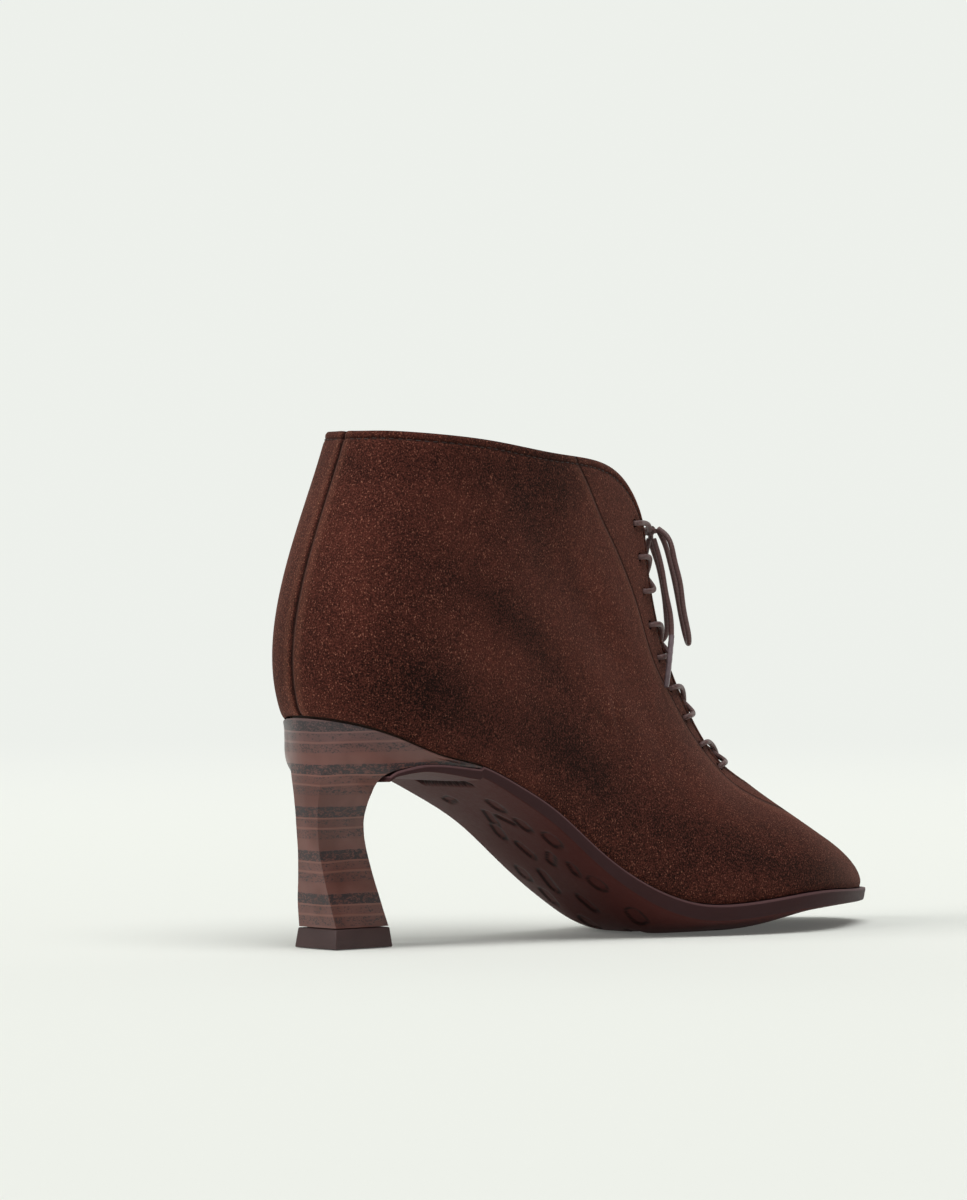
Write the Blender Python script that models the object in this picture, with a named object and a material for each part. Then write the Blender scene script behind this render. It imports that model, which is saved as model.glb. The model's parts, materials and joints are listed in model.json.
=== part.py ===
"""A heeled lace-up ankle boot for the right foot, in metres, +Z up, toe towards +X.

The origin is the middle of the heel tip's bottom face, on the floor. The lateral side is
-Y and the medial side, with the zip, is +Y. Everything is worked out from one last: a
table of sections from the middle of the toe round to the middle of the back.
"""
import math

import bmesh
import bpy
import numpy as np
from mathutils import Vector
from mathutils.bvhtree import BVHTree

MM = 0.001
LATERAL = -1
MEDIAL = 1

# Driving sizes of the last
LAST_LENGTH = 234.5 * MM
SEAT_OVERHANG = 17.7 * MM
BALL_WIDTH = 74.0 * MM
HEEL_HEIGHT = 69.4 * MM
FOREPART_HEIGHT = 9.6 * MM
BOOT_HEIGHT = 155.2 * MM
COLLAR_WIDTH = 54.0 * MM

# Upper, tongue and insole
WALL = 1.8 * MM
TONGUE_THICKNESS = 1.4 * MM
TONGUE_LAP = 12.0 * MM
TONGUE_BELOW_THROAT = 9.0 * MM
TONGUE_DROP = 2.2 * MM
TONGUE_SHOULDER = 0.7 * MM
TONGUE_SPREAD_LIMIT = 4.0 * MM
INSOLE_THICKNESS = 2.2 * MM
INSOLE_BEVEL = 1.2 * MM
CLEARANCE = 0.3 * MM

# Lacing
LACE_ROWS = 9
LACE_DIAMETER = 1.7 * MM
LACE_HOLE_DIAMETER = 2.6 * MM
LACE_INSET = 8.6 * MM
LACE_INSET_BACK = 0.74
LACE_INSET_ASIDE = 0.67
FIRST_HOLE_ABOVE_THROAT = 11.0 * MM
TOP_HOLE_HEIGHT = 128.0 * MM

# Outsole
SOLE_EDGE = 4.6 * MM
SOLE_LEDGE = 1.2 * MM
SOLE_REAR_THICKNESS = 1.6 * MM
SOLE_REAR_INSET = 1.0 * MM
SOLE_BEVEL = 0.5 * MM
SOLE_TUCK = 0.12
FLAT_HALF_WIDTH_SHARE = 0.30

# Heel and its tip
HEEL_NECK_WIDTH = 12.0 * MM
TIP_LENGTH = 23.5 * MM
TIP_BACK_WIDTH = 19.6 * MM
TIP_FRONT_WIDTH = 16.7 * MM
TIP_HEIGHT = 6.0 * MM
TIP_INSET = 0.7 * MM
TIP_BEVEL = 0.4 * MM
TIP_FOOT_INSET = 0.25 * MM
WING_LENGTH = 48.3 * MM
WING_EDGE = 0.7 * MM

# Zip
ZIP_SLOT_WIDTH = 5.2 * MM
ZIP_TOP_X = 31.0 * MM
ZIP_BOTTOM_X = 27.0 * MM
ZIP_ABOVE_FEATHER = 16.0 * MM
ZIP_TAPE_WIDTH = 22.0 * MM
ZIP_TAPE_THICKNESS = 0.8 * MM
ZIP_COIL_WIDTH = 4.4 * MM
ZIP_COIL_THICKNESS = 1.5 * MM
ZIP_BELOW_COLLAR = 1.0 * MM
SLIDER_LENGTH = 9.0 * MM
SLIDER_WIDTH = 7.0 * MM
SLIDER_THICKNESS = 1.6 * MM
SLIDER_BELOW_COLLAR = 14.0 * MM
SLIDER_SIDE_ROOM = 2.0 * MM
BRIDGE_WIDTH = 1.2 * MM
BRIDGE_EYE = 1.4 * MM
PULL_LENGTH = 19.0 * MM
PULL_WIDTH = 5.4 * MM
PULL_THICKNESS = 0.9 * MM
PULL_CORNER = 1.2 * MM
PULL_EYE_HALF_WIDTH = 1.5 * MM
PULL_EYE_LENGTH = 6.0 * MM
PULL_EYE_CORNER = 0.8 * MM

# How finely the pieces are made
SKIN_STEPS = 2
SKIN_HEIGHTS = 13
TREE_STEPS = 4
TREE_HEIGHTS = 33
HOLE_SIDES = 8
CORD_SIDES = 6
HEEL_COLUMN_COUNT = 13
TONGUE_STEPS = 18
TAPE_STEPS = 14
COIL_STEPS = 16
SHARP_ANGLE = 38.0

# The last's sections, from the middle of the toe to the middle of the back. foot_x and
# top_x are shares of LAST_LENGTH from the back of the seat; outer and inner (the feather
# line's two sides) and ridge are shares of BALL_WIDTH; top_z is a share of BOOT_HEIGHT and
# gap of COLLAR_WIDTH. lean, aim and dip are in degrees, and the pulls are shares of the
# section's own height: aim 0 points straight out to the side and 90 straight back.
SECTION_COLUMNS = ("foot_x", "outer", "inner", "top_x", "top_z", "ridge", "gap",
                   "lean", "foot_pull", "aim", "dip", "top_pull")
SECTIONS = (
    (1.000, 0.108, 0.108, 0.972, 0.129, 0.095, 0.000, -2, 0.46, -90, 40, 0.36),
    (0.996, 0.024, 0.190, 0.963, 0.138, 0.090, 0.000, -2, 0.45, -62, 31, 0.35),
    (0.978, -0.062, 0.252, 0.951, 0.149, 0.082, 0.000, -2, 0.44, -36, 22, 0.33),
    (0.946, -0.160, 0.308, 0.930, 0.168, 0.071, 0.000, 0, 0.42, -16, 15, 0.31),
    (0.906, -0.262, 0.378, 0.901, 0.192, 0.055, 0.000, 2, 0.40, -6, 12, 0.29),
    (0.854, -0.370, 0.446, 0.862, 0.222, 0.036, 0.000, 4, 0.38, 0, 13, 0.29),
    (0.792, -0.460, 0.493, 0.816, 0.262, 0.014, 0.000, 5, 0.37, 6, 16, 0.30),
    (0.732, -0.499, 0.503, 0.773, 0.300, 0.000, 0.000, 5, 0.36, 16, 23, 0.31),
    (0.677, -0.500, 0.486, 0.717, 0.348, 0.000, 0.037, 4, 0.36, 27, 36, 0.33),
    (0.617, -0.476, 0.443, 0.666, 0.441, 0.000, 0.043, 3, 0.35, 37, 49, 0.34),
    (0.558, -0.436, 0.386, 0.627, 0.542, 0.000, 0.052, 2, 0.34, 43, 58, 0.35),
    (0.497, -0.399, 0.335, 0.602, 0.638, 0.000, 0.060, 1, 0.33, 47, 62, 0.34),
    (0.438, -0.373, 0.304, 0.585, 0.741, 0.000, 0.070, 0, 0.33, 50, 64, 0.34),
    (0.374, -0.361, 0.295, 0.570, 0.834, 0.000, 0.096, 0, 0.33, 53, 64, 0.34),
    (0.306, -0.362, 0.308, 0.517, 0.912, 0.000, 0.194, 0, 0.32, 58, 64, 0.34),
    (0.237, -0.369, 0.335, 0.434, 0.948, 0.000, 0.343, 2, 0.31, 68, 65, 0.34),
    (0.169, -0.368, 0.351, 0.332, 0.961, 0.000, 0.463, 5, 0.31, 80, 67, 0.34),
    (0.110, -0.349, 0.342, 0.229, 0.981, 0.000, 0.496, 10, 0.31, 86, 71, 0.33),
    (0.062, -0.296, 0.296, 0.148, 0.993, 0.000, 0.440, 16, 0.32, 84, 74, 0.31),
    (0.029, -0.218, 0.218, 0.101, 0.999, 0.000, 0.302, 21, 0.32, 80, 74, 0.30),
    (0.008, -0.118, 0.118, 0.081, 1.000, 0.000, 0.160, 23, 0.32, 84, 73, 0.29),
    (0.000, 0.000, 0.000, 0.075, 1.000, 0.000, 0.000, 23, 0.32, 90, 72, 0.29),
)
THROAT_ROW = 7
COLLAR_ROW = 15

# Height of the feather line: at is a share of LAST_LENGTH from the back of the seat, lift
# of HEEL_HEIGHT less FOREPART_HEIGHT, and spring of FOREPART_HEIGHT.
PROFILE_COLUMNS = ("at", "lift", "spring")
PROFILE = (
    (0.000, 1.000, 0.00),
    (0.029, 0.970, 0.00),
    (0.082, 0.898, 0.00),
    (0.138, 0.812, 0.00),
    (0.205, 0.752, 0.00),
    (0.271, 0.648, 0.00),
    (0.342, 0.500, 0.00),
    (0.399, 0.334, 0.00),
    (0.450, 0.196, 0.00),
    (0.518, 0.062, 0.00),
    (0.568, 0.008, 0.00),
    (0.616, 0.000, 0.00),
    (0.688, 0.000, 0.14),
    (0.773, 0.000, 0.30),
    (0.870, 0.000, 0.24),
    (1.000, 0.000, 0.10),
)

# The sole below the feather line: edge is its side wall's height as a share of SOLE_EDGE,
# crown how far the middle of the tread lies below the foot of the side wall, as a share
# of FOREPART_HEIGHT, and ledge a share of SOLE_LEDGE.
SOLE_COLUMNS = ("at", "edge", "crown", "ledge")
SOLE_SHAPE = (
    (0.082, 0.35, 0.04, 0.0),
    (0.205, 0.70, 0.08, 0.0),
    (0.342, 0.98, 0.16, 0.1),
    (0.450, 1.02, 0.28, 0.3),
    (0.532, 1.08, 0.44, 0.6),
    (0.616, 1.08, 0.50, 0.9),
    (0.688, 1.06, 0.50, 1.0),
    (0.773, 1.04, 0.40, 1.0),
    (0.880, 0.92, 0.20, 1.0),
    (0.960, 0.82, 0.08, 1.1),
    (1.010, 0.78, 0.02, 1.2),
)
TREAD_FLAT = (0.590, 0.655)
TREAD_ROOM = 0.14
TREAD_SHARES = (0.97, 0.86, 0.66, FLAT_HALF_WIDTH_SHARE, 0.0)
TREAD_ROUND = 1.8
# Ends of the sole's and the insole's middle line, as shares of LAST_LENGTH
SPINE_START = 0.05
SPINE_END = 0.955

# The heel's rows from its foot to its seat. edge is the front corner and corner the back
# one: x in shares of TIP_LENGTH from the tip's middle, half widths in shares of
# HEEL_NECK_WIDTH, heights in shares of HEEL_HEIGHT. round turns flat facets into the
# seat's round outline.
HEEL_COLUMNS = ("edge_x", "edge_half", "edge_z", "corner_x", "corner_half", "back_x",
                "back_z", "round")
HEEL_ROWS = (
    (0.325, 0.620, 0.200, -0.520, 0.640, -0.528, 0.200, 0.00),
    (0.210, 0.580, 0.315, -0.566, 0.510, -0.574, 0.315, 0.00),
    (0.105, 0.550, 0.440, -0.612, 0.420, -0.620, 0.445, 0.02),
    (0.050, 0.600, 0.540, -0.635, 0.430, -0.648, 0.555, 0.10),
    (0.025, 0.800, 0.620, -0.645, 0.540, -0.672, 0.655, 0.32),
    (-0.040, 1.180, 0.686, -0.646, 0.680, -0.696, 0.745, 0.62),
    (-0.110, 1.640, 0.738, -0.642, 0.760, -0.718, 0.820, 0.86),
    (0.060, 1.930, 0.776, -0.636, 0.790, -0.736, 0.885, 1.00),
    (0.500, 2.130, 0.800, -0.630, 0.790, -0.748, 0.945, 1.00),
)

# The slider's bridge from the side: up the slider and out from its face, in millimetres
BRIDGE_OUTLINE = ((-2.6, -0.4), (-2.6, 1.9), (-1.4, 2.7), (1.4, 2.7), (2.6, 1.9), (2.6, -0.4),
                  (1.4, -0.4), (1.4, 1.5), (-1.4, 1.5), (-1.4, -0.4))
# Ends of the tape and of the coil, as shares of the zip's length above the slot's foot
TAPE_FOOT = -0.10
COIL_FOOT = 0.02

# The bow. Points are in metres: beyond the knot, out to the side and below the knot.
KNOT_AHEAD = 7.0 * MM
KNOT_BELOW = 2.4 * MM
LOOP_POINTS = (
    (0.0012, 0.0026, -0.0006), (0.0020, 0.0058, 0.0018), (0.0026, 0.0086, 0.0092),
    (0.0036, 0.0100, 0.0160), (0.0044, 0.0106, 0.0235), (0.0058, 0.0106, 0.0290),
    (0.0074, 0.0100, 0.0334), (0.0094, 0.0076, 0.0354), (0.0108, 0.0050, 0.0336),
    (0.0104, 0.0036, 0.0284), (0.0094, 0.0032, 0.0230), (0.0078, 0.0030, 0.0160),
    (0.0056, 0.0030, 0.0092), (0.0032, 0.0030, 0.0034), (0.0020, 0.0018, 0.0000),
)
END_POINTS = (
    (0.0006, 0.0011, 0.0026), (0.0008, 0.0026, 0.0064), (0.0012, 0.0045, 0.0130),
    (0.0016, 0.0058, 0.0200), (0.0022, 0.0070, 0.0260), (0.0020, 0.0078, 0.0310),
    (0.0016, 0.0082, 0.0335),
)
AGLET_POINTS = ((0.0014, 0.0084, 0.0341), (-0.0014, 0.0104, 0.0415), (-0.0042, 0.0122, 0.0489))
AGLET_DIAMETER = 1.9 * MM
KNOT_SIZE = 5.0 * MM

PIECE_FINISH = {
    "suede": ((0.050, 0.020, 0.014), 0.92, 0.0),
    "lining": ((0.110, 0.075, 0.055), 0.70, 0.0),
    "sole_rubber": ((0.050, 0.020, 0.018), 0.42, 0.0),
    "stacked_heel": ((0.110, 0.045, 0.036), 0.34, 0.0),
    "tip_rubber": ((0.040, 0.018, 0.016), 0.50, 0.0),
    "waxed_cord": ((0.070, 0.040, 0.036), 0.45, 0.0),
    "aglet_film": ((0.110, 0.080, 0.090), 0.22, 0.0),
    "zip_cloth": ((0.035, 0.020, 0.016), 0.85, 0.0),
    "zip_metal": ((0.420, 0.400, 0.380), 0.30, 1.0),
}


class Curve:
    """A cubic spline through a table's rows: closed round a loop, or with free ends."""

    def __init__(self, knots, values, closed=False):
        self.knots = np.asarray(knots, dtype=float)
        self.values = np.asarray(values, dtype=float)
        self.closed = closed
        self.bends = self._bends()

    def _bends(self):
        count = len(self.knots)
        steps = np.diff(self.knots)
        matrix = np.eye(count)
        target = np.zeros_like(self.values)
        slopes = (np.diff(self.values, axis=0).T / steps).T
        for row in range(1, count - 1):
            matrix[row, row - 1] = steps[row - 1]
            matrix[row, row] = 2.0 * (steps[row - 1] + steps[row])
            matrix[row, row + 1] = steps[row]
            target[row] = 6.0 * (slopes[row] - slopes[row - 1])
        if self.closed:
            matrix[0] = 0.0
            matrix[0, 0] = 1.0
            matrix[0, -1] = -1.0
            matrix[-1] = 0.0
            matrix[-1, 0] = 2.0 * steps[0]
            matrix[-1, 1] = steps[0]
            matrix[-1, -1] = 2.0 * steps[-1]
            matrix[-1, -2] = steps[-1]
            target[-1] = 6.0 * (slopes[0] - slopes[-1])
        return np.linalg.solve(matrix, target)

    def __call__(self, place):
        place = np.atleast_1d(np.asarray(place, dtype=float))
        if self.closed:
            start = self.knots[0]
            place = start + np.mod(place - start, self.knots[-1] - start)
        spot = np.clip(np.searchsorted(self.knots, place, side="right") - 1, 0, len(self.knots) - 2)
        step = self.knots[spot + 1] - self.knots[spot]
        after = (place - self.knots[spot]) / step
        before = 1.0 - after
        scale = step * step / 6.0
        if self.values.ndim > 1:
            after, before, scale = after[:, None], before[:, None], scale[:, None]
        return (before * self.values[spot] + after * self.values[spot + 1]
                + scale * ((before ** 3 - before) * self.bends[spot]
                           + (after ** 3 - after) * self.bends[spot + 1]))


def column(table, names, name):
    """One named column of a table."""
    return np.array([row[names.index(name)] for row in table], dtype=float)


def along(share):
    """World x of a share of the last's length."""
    return share * LAST_LENGTH - SEAT_OVERHANG


def steady(x, knots, values):
    """Monotone cubic through the rows, which never swings past them."""
    x = np.atleast_1d(np.asarray(x, dtype=float))
    knots = np.asarray(knots, dtype=float)
    values = np.asarray(values, dtype=float)
    steps = np.diff(knots)
    slopes = np.diff(values) / steps
    tangents = np.zeros_like(values)
    for row in range(1, len(knots) - 1):
        if slopes[row - 1] * slopes[row] > 0.0:
            tangents[row] = 2.0 / (1.0 / slopes[row - 1] + 1.0 / slopes[row])
    tangents[0] = slopes[0]
    tangents[-1] = slopes[-1]
    x = np.clip(x, knots[0], knots[-1])
    spot = np.clip(np.searchsorted(knots, x, side="right") - 1, 0, len(knots) - 2)
    t = (x - knots[spot]) / steps[spot]
    h00 = (1.0 + 2.0 * t) * (1.0 - t) ** 2
    h10 = t * (1.0 - t) ** 2
    h01 = t * t * (3.0 - 2.0 * t)
    h11 = t * t * (t - 1.0)
    return (h00 * values[spot] + h10 * steps[spot] * tangents[spot]
            + h01 * values[spot + 1] + h11 * steps[spot] * tangents[spot + 1])


PROFILE_CURVE = Curve(column(PROFILE, PROFILE_COLUMNS, "at"),
                      np.stack([column(PROFILE, PROFILE_COLUMNS, "lift"),
                                column(PROFILE, PROFILE_COLUMNS, "spring")], axis=1))


def feather_height(x):
    """Height of the feather line, where the upper meets the sole, at a world x."""
    share = np.clip((np.atleast_1d(x) + SEAT_OVERHANG) / LAST_LENGTH, 0.0, 1.0)
    lift, spring = PROFILE_CURVE(share).T
    return (FOREPART_HEIGHT + lift * (HEEL_HEIGHT - FOREPART_HEIGHT)
            + spring * FOREPART_HEIGHT)


class Last:
    """The upper's outer surface: sections along place u, heights v from 0 to 1."""

    def __init__(self):
        col = {name: column(SECTIONS, SECTION_COLUMNS, name) for name in SECTION_COLUMNS}
        foot_x = along(col["foot_x"])
        middle = 0.5 * (col["inner"] - col["outer"]) * BALL_WIDTH
        steps = np.hypot(np.diff(foot_x), np.diff(middle))
        self.knots = np.concatenate([[0.0], np.cumsum(steps)])
        self.length = self.knots[-1]
        loop = np.concatenate([self.knots, 2.0 * self.length - self.knots[-2::-1]])

        def ring(outer, inner):
            values = np.concatenate([outer, inner[-2::-1]])
            return Curve(loop, values, closed=True)

        aim = np.radians(col["aim"])
        self.foot_x = ring(foot_x, foot_x)
        self.foot_y = ring(col["outer"] * BALL_WIDTH, col["inner"] * BALL_WIDTH)
        self.top_x = ring(along(col["top_x"]), along(col["top_x"]))
        self.top_z = ring(col["top_z"] * BOOT_HEIGHT, col["top_z"] * BOOT_HEIGHT)
        self.ridge = ring(col["ridge"] * BALL_WIDTH, col["ridge"] * BALL_WIDTH)
        self.gap = ring(-col["gap"] * COLLAR_WIDTH, col["gap"] * COLLAR_WIDTH)
        self.aim_x = ring(-np.sin(aim), -np.sin(aim))
        self.aim_y = ring(-np.cos(aim), np.cos(aim))
        self.lean = ring(np.radians(col["lean"]), np.radians(col["lean"]))
        self.dip = ring(np.radians(col["dip"]), np.radians(col["dip"]))
        self.foot_pull = ring(col["foot_pull"], col["foot_pull"])
        self.top_pull = ring(col["top_pull"], col["top_pull"])
        self.throat = self.knots[THROAT_ROW]
        self.collar = self.knots[COLLAR_ROW]

    def at(self, u, side):
        """Place on the closed loop of a place on one side."""
        u = np.atleast_1d(np.asarray(u, dtype=float))
        return u if side == LATERAL else 2.0 * self.length - u

    def feather(self, u, side):
        """Points of the feather line and the outward directions there."""
        place = self.at(u, side)
        x = self.foot_x(place)
        y = self.foot_y(place)
        nudge = 1e-5
        dx = self.foot_x(place + nudge) - self.foot_x(place - nudge)
        dy = self.foot_y(place + nudge) - self.foot_y(place - nudge)
        size = np.hypot(dx, dy)
        points = np.stack([x, y, feather_height(x)], axis=1)
        outward = np.stack([-dy / size, dx / size, np.zeros_like(x)], axis=1)
        return points, outward

    def top(self, u, side):
        """Points of the ridge, the throat's edge and the collar."""
        place = self.at(u, side)
        open_part = np.atleast_1d(u) > self.throat + 1e-6
        gap = np.where(open_part, self.gap(place), 0.0)
        return np.stack([self.top_x(place), self.ridge(place) + gap, self.top_z(place)], axis=1)

    def skin(self, u, v, side):
        """Points of the outer surface for every u and v."""
        u = np.atleast_1d(np.asarray(u, dtype=float))
        v = np.atleast_1d(np.asarray(v, dtype=float))
        place = self.at(u, side)
        foot, outward = self.feather(u, side)
        foot = foot + np.array([0.0, 0.0, CLEARANCE])
        top = self.top(u, side)
        height = np.linalg.norm(top - foot, axis=1)[:, None]
        lean = self.lean(place)[:, None]
        dip = self.dip(place)[:, None]
        up = np.array([0.0, 0.0, 1.0])
        aim = np.stack([self.aim_x(place), self.aim_y(place), np.zeros_like(place)], axis=1)
        aim = aim / np.linalg.norm(aim, axis=1)[:, None]
        low = foot + self.foot_pull(place)[:, None] * height * (outward * np.sin(lean) + up * np.cos(lean))
        high = top + self.top_pull(place)[:, None] * height * (aim * np.cos(dip) - up * np.sin(dip))
        t = v[None, :, None]
        return (foot[:, None] * (1 - t) ** 3 + low[:, None] * 3 * t * (1 - t) ** 2
                + high[:, None] * 3 * t ** 2 * (1 - t) + top[:, None] * t ** 3)

    def inside(self, u, v, side, depth):
        """Points at a depth below the outer surface."""
        nudge = 2e-4
        middle = np.clip(v, nudge, 1.0 - nudge)
        along_u = self.skin(u + nudge, middle, side) - self.skin(u - nudge, middle, side)
        along_v = self.skin(u, middle + nudge, side) - self.skin(u, middle - nudge, side)
        normal = np.cross(along_u, along_v) * side
        normal = normal / np.linalg.norm(normal, axis=2)[:, :, None]
        return self.skin(u, v, side) - depth * normal, normal


LAST = Last()


def link_object(name, data):
    """Link a mesh or a curve to the scene."""
    piece = bpy.data.objects.new(name, data)
    bpy.context.scene.collection.objects.link(piece)
    return piece


def add_object(name, data, finish):
    """Link a mesh or a curve to the scene under the finish's material."""
    color, roughness, metallic = PIECE_FINISH[finish]
    material = bpy.data.materials.get(finish) or bpy.data.materials.new(finish)
    material.use_nodes = True
    shader = material.node_tree.nodes["Principled BSDF"]
    shader.inputs["Base Color"].default_value = (*color, 1.0)
    shader.inputs["Roughness"].default_value = roughness
    shader.inputs["Metallic"].default_value = metallic
    data.materials.append(material)
    return link_object(name, data)


def add_helper(name, mesh):
    """An unseen object that a Boolean modifier works with."""
    helper = link_object(name, mesh)
    helper.hide_render = True
    helper.display_type = "WIRE"
    return helper


def finish_mesh(build, name, merge=1e-6):
    """Merge doubles, turn the faces outwards and hand over the mesh."""
    bmesh.ops.remove_doubles(build, verts=build.verts, dist=merge)
    bmesh.ops.recalc_face_normals(build, faces=build.faces)
    mesh = bpy.data.meshes.new(name)
    build.to_mesh(mesh)
    build.free()
    mesh.shade_smooth()
    mesh.set_sharp_from_angle(angle=math.radians(SHARP_ANGLE))
    return mesh


def loft(build, rings, closed=True):
    """Quads between rings of points, each ring closed on itself or left open."""
    rows = [[build.verts.new(Vector(point)) for point in ring] for ring in rings]
    for first, second in zip(rows, rows[1:]):
        count = len(first)
        for index in range(count if closed else count - 1):
            after = (index + 1) % count
            corners = [first[index], first[after], second[after], second[index]]
            if len({tuple(corner.co) for corner in corners}) > 2:
                build.faces.new(corners)
    return rows


def closed_loft(build, rings):
    """A loft whose first and last rings are closed with one face each."""
    rows = loft(build, rings)
    build.faces.new(rows[0])
    build.faces.new(rows[-1])


def cap(build, ring):
    """Close a ring by rungs between its two halves, so that no long fan is left."""
    low, high = 0, len(ring) - 1
    while high - low > 2:
        build.faces.new([ring[low], ring[low + 1], ring[high - 1], ring[high]])
        low, high = low + 1, high - 1
    if high - low == 2:
        build.faces.new([ring[low], ring[low + 1], ring[high]])


def section_places(per_section=SKIN_STEPS):
    """Places u along the last with a fixed number of steps in each section."""
    knots = LAST.knots
    places = [knots[0]]
    for start, end in zip(knots, knots[1:]):
        places += [start + (end - start) * (step + 1) / per_section for step in range(per_section)]
    return np.array(places)


def outer_skin(per_section=SKIN_STEPS, heights=SKIN_HEIGHTS):
    """The outer surface as an open mesh in one piece."""
    build = bmesh.new()
    u = section_places(per_section)
    v = np.linspace(0.0, 1.0, heights)
    for side in (LATERAL, MEDIAL):
        loft(build, LAST.skin(u, v, side), closed=False)
    bmesh.ops.remove_doubles(build, verts=build.verts, dist=1e-6)
    bmesh.ops.recalc_face_normals(build, faces=build.faces)
    return build


def skin_tree():
    """A search tree of the outer surface, for seating pieces on it."""
    build = outer_skin(TREE_STEPS, TREE_HEIGHTS)
    tree = BVHTree.FromBMesh(build)
    build.free()
    return tree


def lace_holes():
    """Points of the throat's lateral edge beside each row of lace holes."""
    edge = LAST.top(np.linspace(LAST.throat, LAST.collar, 240), LATERAL)
    run = np.concatenate([[0.0], np.cumsum(np.hypot(*np.diff(edge[:, [0, 2]], axis=0).T))])
    top_run = float(np.interp(TOP_HOLE_HEIGHT, edge[:, 2], run))
    runs = np.linspace(FIRST_HOLE_ABOVE_THROAT, top_run, LACE_ROWS)
    return [tuple(np.interp(place, run, edge[:, axis]) for axis in range(3)) for place in runs]


def hole_spots(tree):
    """Lace holes on the surface: for each row, the lateral and medial place and normal."""
    rows = []
    for x, y, z in lace_holes():
        pair = []
        for side in (LATERAL, MEDIAL):
            aside = Vector((x - LACE_INSET_BACK * LACE_INSET,
                            side * (abs(y) + LACE_INSET_ASIDE * LACE_INSET), z))
            spot, normal, _face, _gap = tree.find_nearest(aside)
            pair.append((spot, normal))
        rows.append(pair)
    return rows


def zip_foot():
    """Height of the zip slot's foot."""
    return float(feather_height(ZIP_BOTTOM_X)[0]) + ZIP_ABOVE_FEATHER


def zip_line(tree, share, across=0.0):
    """Place and normal on the medial surface along the zip, share 0 at its foot."""
    low = zip_foot()
    x = ZIP_BOTTOM_X + (ZIP_TOP_X - ZIP_BOTTOM_X) * share + across
    start = Vector((x, BALL_WIDTH, low + (BOOT_HEIGHT - low) * share))
    spot, normal, _face, _gap = tree.ray_cast(start, Vector((0.0, -1.0, 0.0)))
    return spot, normal


def collar_share(tree, below, across=0.0):
    """Share along the zip that lies a distance below the collar."""
    share = 1.0
    while zip_line(tree, share, across)[0] is None:
        share -= 0.002
    return share - below / (BOOT_HEIGHT - zip_foot())


def make_upper(tree):
    """The hollow upper with its throat, collar, zip slot and lace holes."""
    build = outer_skin()
    shell = add_object("upper", finish_mesh(build, "upper"), "suede")
    wall = shell.modifiers.new("wall", "SOLIDIFY")
    wall.thickness = WALL
    wall.offset = -1.0
    wall.use_even_offset = True
    wall.use_quality_normals = True
    punch = shell.modifiers.new("holes", "BOOLEAN")
    punch.operation = "DIFFERENCE"
    punch.object = make_cutters(tree)
    return shell


def make_cutters(tree):
    """Punches for the lace holes and the blade for the zip slot, in one hidden object."""
    build = bmesh.new()
    for row in hole_spots(tree):
        for spot, normal in row:
            turn = normal.to_track_quat("Z", "Y").to_matrix().to_4x4()
            turn.translation = spot - normal * 0.5 * WALL
            bmesh.ops.create_cone(build, cap_ends=True, segments=HOLE_SIDES,
                                  radius1=0.5 * LACE_HOLE_DIAMETER,
                                  radius2=0.5 * LACE_HOLE_DIAMETER, depth=3.0 * WALL, matrix=turn)
    half = 0.5 * ZIP_SLOT_WIDTH
    low, _normal = zip_line(tree, 0.0)
    slope = (ZIP_TOP_X - ZIP_BOTTOM_X) / (BOOT_HEIGHT - low.z)
    high = BOOT_HEIGHT + 4.0 * WALL
    shift = slope * (high - low.z)
    reach = 14.0 * WALL
    closed_loft(build, [[(low.x - half, y, low.z), (low.x + half, y, low.z),
                         (low.x + half + shift, y, high), (low.x - half + shift, y, high)]
                        for y in (low.y - reach, low.y + reach)])
    bmesh.ops.recalc_face_normals(build, faces=build.faces)
    mesh = bpy.data.meshes.new("cutters")
    build.to_mesh(mesh)
    build.free()
    return add_helper("cutters", mesh)


def sole_columns(x):
    """Side wall, crown and ledge of the sole at a world x."""
    at = along(column(SOLE_SHAPE, SOLE_COLUMNS, "at"))
    edge = steady(x, at, column(SOLE_SHAPE, SOLE_COLUMNS, "edge")) * SOLE_EDGE
    crown = steady(x, at, column(SOLE_SHAPE, SOLE_COLUMNS, "crown")) * FOREPART_HEIGHT
    ledge = steady(x, at, column(SOLE_SHAPE, SOLE_COLUMNS, "ledge")) * SOLE_LEDGE
    return edge, crown, ledge


def wing_height(x):
    """Height of the lower edge of the heel's wings at a world x."""
    rows = HEEL_ROWS[-3:]
    at = [row[0] * TIP_LENGTH for row in rows] + [wing_tip_x()]
    height = [row[2] * HEEL_HEIGHT for row in rows]
    height.append(float(feather_height(wing_tip_x())[0]) - WING_EDGE)
    return np.interp(x, at, height)


def wing_tip_x():
    """World x of the tips of the heel's wings."""
    return WING_LENGTH - SEAT_OVERHANG


def tread_height(x, side_foot, crown):
    """Height of the middle of the tread, flat on the floor under the ball."""
    middle = side_foot - crown
    start, end = along(TREAD_FLAT[0]), along(TREAD_FLAT[1])
    room = TREAD_ROOM * LAST_LENGTH
    before = np.clip((start - x) / room, 0.0, 1.0)
    after = np.clip((x - end) / room, 0.0, 1.0)
    blend = np.maximum(before, after)
    blend = blend * blend * (3.0 - 2.0 * blend)
    return blend * np.maximum(middle, 0.0)


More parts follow.
